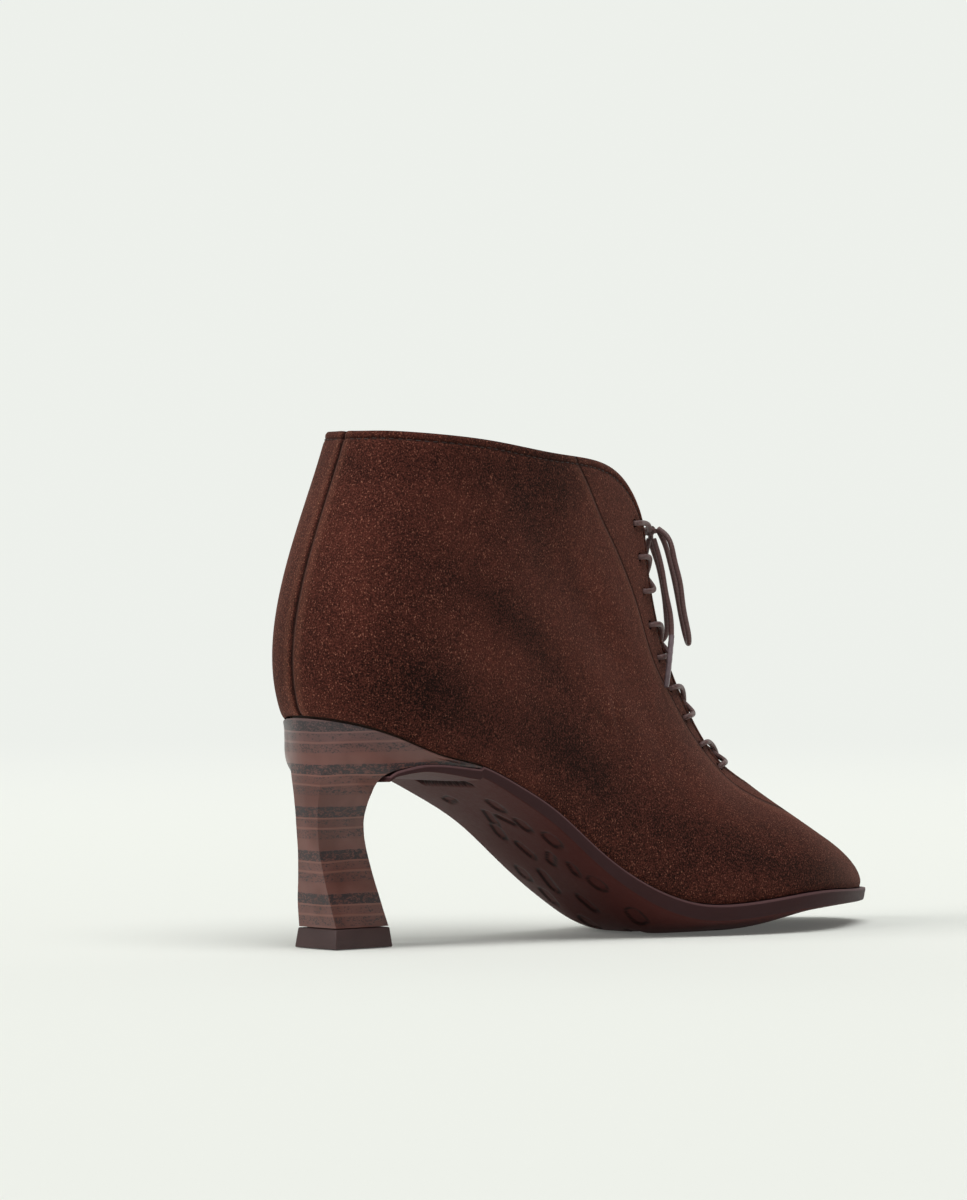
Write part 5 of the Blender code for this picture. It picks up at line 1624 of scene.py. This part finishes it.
@dataclass
class Heel:
    """The heel block: a faceted stem that swells into a cup with two wings, and its tip."""

    last: BootLast
    sole: Sole
    neck: float = 12.0 * MM
    tip_back: float = 19.6 * MM
    tip_front: float = 16.7 * MM
    tip_height: float = 6.0 * MM
    tip_inset: float = 0.7 * MM
    columns: int = 41
    levels: int = 64
    low_rim: float = 0.35 * MM

    def _levels(self) -> Array:
        """Sizes of the block's facets at every level.

        Returns:
            Rows in the order of the table's columns, from the tip to the wings.
        """
        last, tip_length = self.last, self.sole.tip_length
        inset = self.tip_inset + last.clearance
        foot_z = self.tip_height + last.clearance
        front, rear = 0.5 * tip_length - inset, inset - 0.5 * tip_length
        scales = np.array([tip_length, self.neck, last.heel_height, tip_length, self.neck,
                           tip_length, last.heel_height, 1.0])
        foot = [front, 0.5 * self.tip_front - inset, foot_z, rear, 0.5 * self.tip_back - inset,
                rear, foot_z, 0.0]
        table = np.vstack([foot, np.array(HEEL_ROWS) * scales])
        knots = np.arange(len(table), dtype=float)
        fine = np.linspace(0.0, knots[-1], self.levels)
        edge_x = Curve(knots, table[:, 0])(fine)
        others = [steady(fine, knots, table[:, index]) for index in range(1, len(HEEL_COLUMNS))]
        return np.stack([edge_x, *others], axis=1)

    @staticmethod
    def _facets(shares: Array, edge: Array, corner: Array, back: Array) -> Array:
        """Points of a flat side and a flat half back.

        Args:
            shares: places, 0 at the front edge, 1 at the corner and 2 at the back.
            edge: the front edge.
            corner: the corner.
            back: the middle of the back.

        Returns:
            The points.
        """
        share = shares[:, None]
        return np.where(share <= 1.0, edge + (corner - edge) * share,
                        corner + (back - corner) * (share - 1.0))

    def _side(self, side: Side) -> Array:
        """Rows of points up one side of the heel, from its front edge to its back.

        Args:
            side: which side of the boot.

        Returns:
            Points by level and place.
        """
        last = self.last
        u = np.linspace(last.place_of_x(self.sole.wing_tip()), last.around, self.columns)
        seat, _outward = last.feather(u, side)
        seat[:, 2] -= last.clearance
        corner_x = HEEL_ROWS[-1][HEEL_COLUMNS.index("corner_x")] * self.sole.tip_length
        at = int(np.argmin(np.abs(seat[:, 0] - corner_x)))
        run = running(seat[:, :2])
        shares = run / run[at]
        shares[at:] = 1.0 + (run[at:] - run[at]) / (run[-1] - run[at])
        swell = seat - self._facets(shares, seat[0], seat[at], seat[-1])
        seat_side = np.linalg.norm(seat[at, :2] - seat[0, :2])
        rows = []
        for edge_x, edge_half, edge_z, corner_x, corner_half, back_x, back_z, turn in self._levels():
            edge = np.array([edge_x, side.value * edge_half, edge_z])
            back = np.array([back_x, 0.0, back_z])
            corner_z = edge_z + (back_z - edge_z) * (corner_x - edge_x) / (back_x - edge_x)
            corner = np.array([corner_x, side.value * corner_half, corner_z])
            own = np.linalg.norm(corner[:2] - edge[:2]) / seat_side
            scale = np.where(shares < 1.0, own, corner[1] / seat[at, 1])
            rows.append(self._facets(shares, edge, corner, back) + swell * (turn * scale)[:, None])
        blade = rows[-1]
        wing_z = seat[0, 2] - self.sole.wing_edge + last.clearance
        for share in (0.34, 0.67):
            row = seat * share + blade * (1.0 - share)
            row[0, 2] = blade[0, 2] * (1.0 - share) + wing_z * share
            rows.append(row)
        low_rim = seat - np.array([0.0, 0.0, self.low_rim])
        low_rim[0, 2] = wing_z
        return np.array([*rows, low_rim, seat])

    def build_block(self, finish: Material) -> Placed:
        """Make the block.

        Args:
            finish: its material.

        Returns:
            The block.
        """
        build = bmesh.new()
        halves = [self._side(side) for side in Side]
        for half in halves:
            Workshop.sheet(build, half)
        share = np.linspace(0.0, 1.0, 13)[None, :, None]
        front = halves[0][:, 0][:, None] * (1.0 - share) + halves[1][:, 0][:, None] * share
        Workshop.sheet(build, front)
        Workshop.close(build, 1e-5)
        mesh = Workshop.mesh(build, "heel_block", sharp=22.0)
        return Workshop.piece("heel_block", mesh, [finish], Slot.HEEL, ["heel"])

    def build_tip(self, finish: Material) -> Placed:
        """Make the top piece under the heel, a little wider at its foot.

        Args:
            finish: its material.

        Returns:
            The top piece.
        """
        build = bmesh.new()
        bmesh.ops.create_cube(build, size=1.0)
        for vert in build.verts:
            low = vert.co.z < 0.0
            inset = 0.0 if low else self.tip_inset
            wide = self.tip_front if vert.co.x > 0.0 else self.tip_back
            vert.co.x = math.copysign(0.5 * self.sole.tip_length - inset, vert.co.x)
            vert.co.y = math.copysign(0.5 * wide - inset, vert.co.y)
            vert.co.z = 0.0 if low else self.tip_height
        bmesh.ops.bevel(build, geom=list(build.edges), offset=0.45 * MM, offset_type="OFFSET",
                        segments=3, profile=0.5, affect="EDGES", material=-1)
        mesh = Workshop.mesh(build, "top_piece", sharp=50.0)
        return Workshop.piece("top_piece", mesh, [finish], Slot.TIP, ["heel_tip"])


@dataclass
class Inside:
    """The tongue behind the throat and the sock that lines the foot bed."""

    last: BootLast
    wall: float = 1.8 * MM
    lap: float = 12.0 * MM
    thickness: float = 1.4 * MM
    below_throat: float = 9.0 * MM
    below_collar: float = 2.0 * MM
    sunk: float = 3.4 * MM
    shoulder: float = 0.9 * MM
    least_turn: float = 0.35
    insole: float = 2.2 * MM
    sock_edge: float = 0.9 * MM

    def _tongue_face(self, u: float) -> Array:
        """Points of the tongue's front across the throat, from one side to the other.

        Args:
            u: place along the throat.

        Returns:
            The points.
        """
        last = self.last
        place, brim = np.array([u]), np.array([1.0])
        depth = self.wall + 1.6 * last.clearance
        arms, edges, normals = [], [], []
        for side in Side:
            foot = last.skin(place, np.array([0.0]), side)[0, 0]
            size = float(np.linalg.norm(last.top(place, side)[0] - foot))
            v = 1.0 - np.linspace(self.lap, 0.55 * self.lap, 5) / size
            arms.append(last.skin(place, v, side)[0] - depth * last.normals(place, v, side)[0])
            edges.append(last.skin(place, brim, side)[0, 0])
            normals.append(last.normals(place, brim, side)[0, 0])
        ahead = normals[0] + normals[1]
        ahead = ahead / np.linalg.norm(ahead)
        sine = max(float(np.dot(normals[0], ahead)), self.least_turn)
        spread = 0.5 * float(np.linalg.norm(edges[1] - edges[0]))
        reach = min(spread, 4.0 * MM) * math.sqrt(1.0 - sine * sine) / sine - depth / sine
        apex = 0.5 * (edges[0] + edges[1]) + ahead * (reach - self.sunk)
        shoulders = [0.5 * (arm[-1] + apex) + ahead * self.shoulder for arm in arms]
        route = np.concatenate([arms[0], [shoulders[0], apex, shoulders[1]], arms[1][::-1]])
        return resampled(route, 29)

    def _tongue_rings(self) -> Array:
        """Closed sections of the tongue across the throat, of an even thickness.

        Returns:
            Points by section and place round it.
        """
        last = self.last
        start = last.throat - self.below_throat
        end = float(last.knots[last.collar_section - 1]) - self.below_collar
        fronts = np.array([self._tongue_face(u) for u in np.linspace(start, end, 70)])
        across = np.gradient(fronts, axis=1)
        along = np.gradient(fronts, axis=0)
        inward = np.cross(across, along)
        inward /= np.linalg.norm(inward, axis=2)[:, :, None]
        middle = fronts.shape[1] // 2
        inward *= -np.sign(inward[:, middle, :1])[:, None]
        backs = fronts + inward * self.thickness
        return np.concatenate([fronts, backs[:, ::-1], fronts[:, :1]], axis=1)

    def build_tongue(self, finish: Material) -> Placed:
        """Make the tongue.

        Args:
            finish: its material.

        Returns:
            The tongue.
        """
        build = bmesh.new()
        Workshop.sheet(build, self._tongue_rings())
        Workshop.close(build)
        mesh = Workshop.mesh(build, "soft_tongue", sharp=60.0)
        return Workshop.piece("soft_tongue", mesh, [finish], Slot.LINING, ["tongue"])

    def build_sock(self, finish: Material) -> Placed:
        """Make the padded sock over the insole board.

        Args:
            finish: its material.

        Returns:
            The sock.
        """
        last = self.last
        build = bmesh.new()
        places = np.linspace(0.0, last.around, 110)
        low, high = last.clearance, last.clearance + self.insole
        rows = ((0.0, low), (0.5, low), (1.0, low), (1.0, high - self.sock_edge),
                (0.985, high - self.sock_edge / 3.0), (0.95, high), (0.8, high), (0.6, high),
                (0.3, high), (0.0, high))
        for side in Side:
            feather, outward = last.feather(places, side)
            rim = feather - outward * (self.wall + 3.0 * last.clearance)
            spine = np.stack([np.clip(feather[:, 0], last.along(0.05), last.along(0.955)),
                              last.middle_line(places), feather[:, 2]], axis=1)
            layers = []
            for share, lift in rows:
                points = spine + (rim - spine) * share
                points[:, 2] = last.feather_height(points[:, 0]) + lift
                layers.append(points)
            Workshop.sheet(build, np.stack(layers, axis=1))
        mesh = Workshop.mesh(build, "sock", merge=2e-5, sharp=60.0)
        return Workshop.piece("sock", mesh, [finish], Slot.LINING, ["insole"])


@dataclass
class Lace:
    """The lace through its holes, the bow and the two aglets."""

    upper: Upper
    diameter: float = 1.7 * MM
    aglet_diameter: float = 1.9 * MM
    knot_ahead: float = 7.0 * MM
    knot_below: float = 2.4 * MM
    lift: float = 0.25 * MM
    start_behind: float = 1.6 * MM
    start_aside: float = 0.4 * MM
    braid_shift: float = 0.7 * MM
    knot_turns: float = 1.6
    knot_ahead_half: float = 0.75 * MM
    knot_up_half: float = 0.85 * MM
    knot_length: float = 2.0 * MM
    bar_steps: tuple[float, ...] = (-2.4, -1.2, 0.0, 1.2, 2.4)

    def __post_init__(self) -> None:
        """Look up the holes and the throat's edge at every lace row."""
        self.radius = 0.5 * self.diameter
        self.spots = self.upper.hole_spots()
        self.edges = self.upper.edge_points()
        top = self.edges[-1]
        self.knot = Vector((top.x + self.knot_ahead, 0.0, top.z - self.knot_below))

    def _rim(self, row: int, side: Side) -> Vector:
        """Place of the throat's edge at a row, on one side."""
        edge = self.edges[row]
        return Vector((edge.x, side.value * abs(edge.y), edge.z))

    def _through(self, row: int, side: Side, outwards: bool) -> list[Vector]:
        """Route through one hole.

        Args:
            row: the hole's row, 0 at the bottom.
            side: the hole's side.
            outwards: whether the lace comes out of the boot there.

        Returns:
            Three points.
        """
        radius, wall = self.radius, self.upper.wall
        spot, normal = self.spots[row][side]
        edge = self.edges[row]
        towards = Vector((edge.x, 0.0, edge.z)) - spot
        towards = (towards - normal * towards.dot(normal)).normalized()
        levels = [spot - normal * (wall + 1.1 * radius) + towards * 0.3 * radius,
                  spot - normal * 0.6 * wall, spot + normal * 0.55 * radius + towards * 0.25 * radius]
        return levels if outwards else levels[::-1]

    def _crossing(self, row: int, side: Side, outside: bool, over: float) -> list[Vector]:
        """Route from one hole across the throat to the other side's next hole.

        Args:
            row: the row that it starts from.
            side: the side that it starts from.
            outside: whether it runs over the throat or behind it.
            over: how far its middle passes over the other half of the lace.

        Returns:
            The points between the holes.
        """
        other = Side(-side.value)
        (first, first_out), (last, last_out) = self.spots[row][side], self.spots[row + 1][other]
        low, high = self._rim(row, side), self._rim(row + 1, other)
        ahead = (first_out + last_out).normalized()
        middle = Vector((0.5 * (low.x + high.x), 0.0, 0.5 * (low.z + high.z)))
        near, far = 0.5 * (first + low), 0.5 * (last + high)
        if not outside:
            sink = self.upper.wall + self.radius
            return [near - first_out * sink, middle - ahead * (sink - over), far - last_out * sink]
        lift = self.radius + self.lift
        raised = lift + 0.3 * self.radius
        inwards = 0.18
        return [near + first_out * raised, low.lerp(middle, inwards) + first_out * lift,
                middle + ahead * (lift + over),
                high.lerp(middle, inwards) + last_out * lift, far + last_out * raised]

    def _run(self, side: Side) -> list[Vector]:
        """Route of one half of the lace from the bottom row up to the knot.

        Args:
            side: the side that it starts on.

        Returns:
            The route's points.
        """
        bottom = self.edges[0]
        route = [Vector((bottom.x - self.start_behind, -self.start_aside * side.value,
                         bottom.z - self.upper.wall - 3.2 * self.radius))]
        route += self._through(0, side, True)
        over = (0.55 if side is Side.MEDIAL else -0.25) * self.diameter
        top = self.upper.lace_rows - 1
        for row in range(top):
            outside = row % 2 == 0
            route += self._crossing(row, side, outside, over)
            side = Side(-side.value)
            route += self._through(row + 1, side, not outside)
        spot, normal = self.spots[top][side]
        rim = self._rim(top, side)
        route.append(0.5 * (spot + rim) + normal * (self.radius + self.lift))
        route.append(rim.lerp(self.knot, 0.35) + normal * self.radius)
        route.append(self.knot + Vector((-1.2, side.value * 1.2, 0.2)) * MM)
        return route

    @staticmethod
    def _cord(name: str, build: Build, finish: Material, nodes: list[str]) -> Placed:
        """Dress swept cords as one piece."""
        mesh = Workshop.mesh(build, name, merge=1e-7, sharp=60.0)
        return Workshop.piece(name, mesh, [finish], Slot.CORD, nodes)

    def build_run(self, finish: Material) -> None:
        """Make both halves of the lace through the holes.

        Args:
            finish: material of the lace.
        """
        build = bmesh.new()
        for index, side in enumerate(Side):
            path = Workshop.smooth_route(self._run(side), 0.55 * MM)
            Workshop.sweep(build, path, self.radius, start=index * self.braid_shift)
        nodes = [f"lace_crossing_{count}" for count in (1, 2, 3, 4)]
        self._cord("lace_through_holes", build, finish, nodes)

    def _tie(self, finish: Material) -> Placed:
        """Make the knot: turns of lace round a short bar.

        Args:
            finish: material of the lace.

        Returns:
            The knot.
        """
        build = bmesh.new()
        turns = []
        for share in np.linspace(0.0, 1.0, 40):
            angle = 2.0 * math.pi * self.knot_turns * share
            turns.append(self.knot + Vector((math.sin(angle) * self.knot_ahead_half,
                                             (share - 0.5) * self.knot_length,
                                             math.cos(angle) * self.knot_up_half)))
        bar = [self.knot + Vector((0.2, y, 0.15 * math.cos(y))) * MM for y in self.bar_steps]
        for route, share in ((turns, 0.85), (bar, 0.9)):
            Workshop.sweep(build, Workshop.smooth_route(route, 0.4 * MM), share * self.radius)
        return self._cord("bow_knot", build, finish, ["lace_knot"])

    def build_bow(self, finish: Material, film: Material) -> None:
        """Make the knot, two loops, two ends and their aglets.

        Args:
            finish: material of the lace.
            film: material of the aglets.
        """
        tied = self._tie(finish)
        for side in Side:
            word = side.name.lower()
            aglet = self._aglet(word, self._hanging(AGLET_POINTS, side, 0.8 * MM), film)
            for name, points in (("loop", LOOP_POINTS), ("end", END_POINTS)):
                route = self._hanging(points, side, 0.7 * MM)
                build = bmesh.new()
                Workshop.sweep(build, route, self.radius)
                cord = self._cord(f"bow_{name}_{word}", build, finish, [f"lace_{name}_{word}"])

    def _hanging(self, points: Sequence[Point], side: Side, spacing: float) -> Array:
        """World route of a hanging run of the bow.

        Args:
            points: the run beyond, aside from and below the knot.
            side: the side that it hangs on.
            spacing: distance between the route's points.

        Returns:
            The route's points.
        """
        world = [self.knot + Vector((ahead, side.value * out, -down)) for ahead, out, down in points]
        return Workshop.smooth_route(world, spacing)

    def _aglet(self, word: str, route: Array, film: Material) -> Placed:
        """A film tube pressed round the lace's end.

        Args:
            word: the side's name.
            route: its middle line.
            film: its material.

        Returns:
            The aglet.
        """
        radius = 0.5 * self.aglet_diameter

        def taper(share: float) -> float:
            """Radius at a share of the length: rippled, and narrower at the tip."""
            tip = 1.0 - 0.22 * max(share - 0.93, 0.0) / 0.07
            return radius * tip * (0.96 + 0.04 * math.cos(share * 40.0))

        build = bmesh.new()
        Workshop.sweep(build, route, taper, sides=10)
        mesh = Workshop.mesh(build, f"aglet_film_{word}", merge=1e-7, sharp=30.0)
        return Workshop.piece(mesh.name, mesh, [film], Slot.AGLET, [f"aglet_{word}"])


@dataclass
class Zip:
    """Tape, coil, slider and pull of the medial zip."""

    upper: Upper
    tape_width: float = 22.0 * MM
    tape_thickness: float = 0.8 * MM
    tooth_pitch: float = 1.5 * MM
    coil_width: float = 4.4 * MM
    coil_thickness: float = 1.5 * MM
    foot: float = 0.02
    below_top: float = 1.0 * MM

    def __post_init__(self) -> None:
        """Work out the share of the zip at which its tape ends under the collar."""
        upper = self.upper
        share = 1.0
        while upper.zip_spot(share, 0.5 * self.tape_width)[0] is None:
            share -= 0.002
        low = float(upper.last.feather_height(upper.zip_bottom_x)[0]) + upper.zip_above
        self.top = share - self.below_top / (upper.last.boot_height - low)

    def build_tape(self, finish: Material) -> Placed:
        """Make the woven tape, curved with the wall that it lies behind.

        Args:
            finish: its material.

        Returns:
            The tape.
        """
        depth = self.upper.wall + 2.0 * self.upper.last.clearance
        rows = []
        for share in np.linspace(-0.10, self.top, 60):
            front, back = [], []
            for offset in np.linspace(-0.5, 0.5, 17) * self.tape_width:
                spot, normal = self.upper.zip_spot(float(share), float(offset))
                front.append(spot - normal * depth)
                back.append(spot - normal * (depth + self.tape_thickness))
            rows.append([tuple(p) for p in front + back[::-1] + front[:1]])
        build = bmesh.new()
        Workshop.sheet(build, np.array(rows))
        Workshop.close(build)
        mesh = Workshop.mesh(build, "woven_tape", sharp=50.0)
        return Workshop.piece("woven_tape", mesh, [finish], Slot.CLOTH, ["zip_tape"])

    def build_coil(self, finish: Material) -> Placed:
        """Make the two rows of interlocked coil turns.

        Args:
            finish: their material.

        Returns:
            The coil.
        """
        upper = self.upper
        middle = upper.wall + upper.last.clearance - 0.5 * self.coil_thickness
        length = (upper.zip_spot(self.top)[0] - upper.zip_spot(self.foot)[0]).length
        count = int(length / (0.5 * self.tooth_pitch))
        tilt = 0.16 * self.tooth_pitch
        thread = 0.27 * self.tooth_pitch
        build = bmesh.new()
        for index in range(count):
            share = self.foot + (self.top - self.foot) * (index + 0.5) / count
            spot, normal = upper.zip_spot(share)
            above = upper.zip_spot(share + 0.004)[0] or spot + Vector((0.0, 0.0, MM))
            up = (above - spot).normalized()
            across = up.cross(normal).normalized() * (-1.0) ** index * self.coil_width
            centre = spot - normal * middle
            route = [centre + across * 0.5 - up * tilt,
                     centre + across * 0.2 - up * tilt * 0.5 + normal * 0.2 * MM,
                     centre - across * 0.16 + up * 0.2 * tilt]
            Workshop.sweep(build, Workshop.smooth_route(route, 0.9 * MM), thread, sides=6)
        mesh = Workshop.mesh(build, "coil_turns", merge=1e-7, sharp=60.0)
        return Workshop.piece("coil_turns", mesh, [finish], Slot.CLOTH, ["zip_coil"])

    @staticmethod
    def dress_metal(frame: dict, metal: Material) -> None:
        """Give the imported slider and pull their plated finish.

        Args:
            frame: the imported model.
            metal: the finish.
        """
        for name in ("zip_slider", "zip_pull"):
            node = frame["nodes"][name]
            node.data.materials.clear()
            node.data.materials.append(metal)


@dataclass
class Stitches:
    """Short threads sunk along the collar."""

    upper: Upper
    pitch: float = 2.7 * MM
    thread: float = 0.34 * MM
    below_top: float = 2.4 * MM
    reach: float = 0.36
    sunk: float = 0.16 * MM

    def _line(self, side: Side) -> Array:
        """Places under the collar's edge from the throat to the back.

        Args:
            side: which side of the boot.

        Returns:
            The places.
        """
        last = self.upper.last
        places = np.linspace(last.throat + 2.0 * MM, last.around - 1.2 * MM, 400)
        picked = []
        for line in last.skin(places, np.linspace(0.90, 1.0, 40), side):
            run = running(line[::-1])[1:]
            index = len(line) - 2 - int(np.searchsorted(run, self.below_top))
            picked.append(line[max(index, 0)])
        return np.array(picked)

    def build(self, finish: Material) -> Placed:
        """Make the threads.

        Args:
            finish: their material.

        Returns:
            The joined stitches.
        """
        build = bmesh.new()
        reach = self.reach * self.pitch
        size = Matrix.Diagonal((reach, 0.5 * self.thread, 0.5 * self.thread, 1.0))
        for side in Side:
            line = self._line(side)
            run = running(line)
            for place in np.arange(0.5 * self.pitch, run[-1], self.pitch):
                first, second = (Vector([np.interp(place + shift, run, line[:, axis])
                                         for axis in range(3)]) for shift in (-reach, reach))
                spot, normal = self.upper.tree.find_nearest(0.5 * (first + second))[:2]
                ahead = (second - first).normalized()
                aside = ahead.cross(normal).normalized()
                turn = Matrix((ahead, aside, normal)).transposed().to_4x4()
                turn.translation = spot - normal * self.sunk
                bmesh.ops.create_icosphere(build, subdivisions=1, radius=1.0, matrix=turn @ size)
        mesh = Workshop.mesh(build, "top_stitches", merge=1e-8, sharp=80.0)
        return Workshop.piece("top_stitches", mesh, [finish], Slot.SUEDE)


@dataclass
class Studio:
    """The camera at the photograph's angle, a pale sweep and soft light."""

    place: Point = (-1.13044, -1.38047, 0.11453)
    heading: float = 49.353
    pitch: float = -0.3277
    lens: float = 178.05
    sweep_tone: Point = linear(237, 240, 235)
    glow: float = 0.10
    far_glow: float = 0.98
    soak: float = 0.88
    far_soak: float = 0.02
    world_strength: float = 0.18
    middle: Point = (0.09, 0.0, 0.07)
    floor: float = 7.0
    bend: float = 1.8
    wall: float = 3.0
    half_width: float = 6.0
    before: float = 4.5
    below: float = 0.2 * MM

    def _axes(self) -> tuple[Vector, Vector]:
        """Level directions ahead of the camera and to its right."""
        heading = math.radians(self.heading)
        return (Vector((math.cos(heading), math.sin(heading), 0.0)),
                Vector((math.sin(heading), -math.cos(heading), 0.0)))

    def build_camera(self) -> Placed:
        """Make the camera.

        Returns:
            The camera, which is also the scene's.
        """
        data = bpy.data.cameras.new("camera")
        data.lens = self.lens
        data.sensor_fit = "AUTO"
        data.sensor_width = 36.0
        data.clip_start = 0.05
        data.clip_end = 60.0
        camera = Workshop.placed("camera", data)
        pitch = math.radians(self.pitch)
        level, right = self._axes()
        ahead = level * math.cos(pitch) + Vector((0.0, 0.0, math.sin(pitch)))
        turn = Matrix((right, right.cross(ahead), -ahead)).transposed().to_4x4()
        turn.translation = Vector(self.place)
        camera.matrix_world = turn
        bpy.context.scene.camera = camera
        return camera

    def _light(self, name: str, away: Point, spread: float, power: float, color: Point) -> None:
        """A broad, even light that faces the boot.

        Args:
            name: the light's name.
            away: metres to the camera's right, towards the camera and up from the boot.
            spread: how wide the lamp looks from the boot, in degrees.
            power: light on a surface that faces it, in watts per square metre.
            color: its colour.
        """
        level, right = self._axes()
        aim = Vector(self.middle)
        data = bpy.data.lights.new(name, "SUN")
        data.angle = math.radians(spread)
        data.energy = power
        data.color = color
        lamp = Workshop.placed(name, data)
        lamp.location = aim + right * away[0] - level * away[1] + Vector((0.0, 0.0, away[2]))
        lamp.rotation_euler = (aim - lamp.location).to_track_quat("-Z", "Y").to_euler()

    def build_sweep(self) -> Placed:
        """Make the pale floor that curves up into the backdrop.

        Returns:
            The sweep.
        """
        level, right = self._axes()
        arc = 0.5 * math.pi * self.bend
        build = bmesh.new()
        bmesh.ops.create_grid(build, x_segments=1, y_segments=120, size=1.0)
        for vert in build.verts:
            run = 0.5 * (vert.co.y + 1.0) * (self.floor + arc + self.wall)
            turn = min(max(run - self.floor, 0.0) / self.bend, 0.5 * math.pi)
            forward = min(run, self.floor) + self.bend * math.sin(turn) - self.before
            rise = self.bend * (1.0 - math.cos(turn)) + max(run - self.floor - arc, 0.0)
            vert.co = (right * vert.co.x * self.half_width + level * forward
                       + Vector((0.0, 0.0, rise - self.below)))
        mesh = bpy.data.meshes.new("sweep")
        build.to_mesh(mesh)
        build.free()
        mesh.shade_smooth()
        sweep = Workshop.placed("sweep", mesh)
        paint = Paint("pale_sweep")
        x, y = paint.axis("X") - self.middle[0], paint.axis("Y")
        far = ((x * x + y * y) ** 0.5).smooth(0.5, 2.2)
        near_soak, far_soak, near_glow, far_glow = (tuple(channel * share for channel in self.sweep_tone)
            for share in (self.soak, self.far_soak, self.glow, self.far_glow))
        color = paint.mix(far, near_soak, far_soak)
        mesh.materials.append(paint.surface(color, 0.95, Specular_IOR_Level=0.0,
                                            Emission_Color=paint.mix(far, near_glow, far_glow),
                                            Emission_Strength=1.0))
        return sweep

    def build_room(self) -> None:
        """Make the sweep, the lights and the pale surroundings."""
        self.build_sweep()
        world = bpy.data.worlds.new("studio")
        bpy.context.scene.world = world
        world.use_nodes = True
        back = world.node_tree.nodes["Background"]
        back.inputs[0].default_value = (*self.sweep_tone, 1.0)
        back.inputs[1].default_value = self.world_strength
        self._light("overhead", (0.25, 0.45, 1.7), 50.0, 1.95, (1.0, 0.99, 0.98))
        self._light("back_left", (-1.25, 0.8, 0.8), 26.0, 1.4, (1.0, 0.98, 0.96))
        bpy.context.scene.view_settings.view_transform = "Standard"


def main() -> None:
    """Build the scene in order: lace, upper, sole, heel, inside, zip and studio."""
    logging.basicConfig(level=logging.INFO, format="%(name)s: %(message)s")
    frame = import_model()
    studio = Studio()
    studio.build_camera()
    last = BootLast()
    upper = Upper(last)
    cord = CordFinish().make()
    lace = Lace(upper)
    lace.build_bow(cord, PlainFinish("aglet_film", linear(96, 80, 84), linear(150, 132, 138), 0.2,
                                     900.0, 0.05, 0.25, 0.6).make())
    lace.build_run(cord)
    lining = LeatherFinish().make()
    upper.build(SuedeFinish().make(), lining, EdgeFinish().make())
    thread = PlainFinish("thread", linear(40, 24, 21), linear(64, 40, 34), 0.6, 1500.0)
    Stitches(upper).build(thread.make())
    sole = Sole(last)
    sole.build(SoleFinish().make())
    heel = Heel(last, sole)
    heel.build_block(StackFinish().make())
    tip = PlainFinish("tip_rubber", linear(58, 39, 39), linear(70, 48, 47), 0.55, 700.0)
    heel.build_tip(tip.make())
    inside = Inside(last)
    soft = LeatherFinish("tongue_leather", linear(58, 36, 30), linear(76, 50, 42))
    inside.build_tongue(soft.make())
    inside.build_sock(lining)
    closure = Zip(upper)
    closure.build_tape(TapeFinish().make())
    nylon = PlainFinish("coil_nylon", linear(40, 28, 26), linear(72, 54, 50), 0.42, 900.0)
    closure.build_coil(nylon.make())
    plated = PlainFinish("plated_metal", (0.24, 0.22, 0.21), (0.33, 0.31, 0.29), 0.30, 500.0, 0.01, 1.0)
    closure.dress_metal(frame, plated.make())
    studio.build_room()


if __name__ == "__main__":
    main()
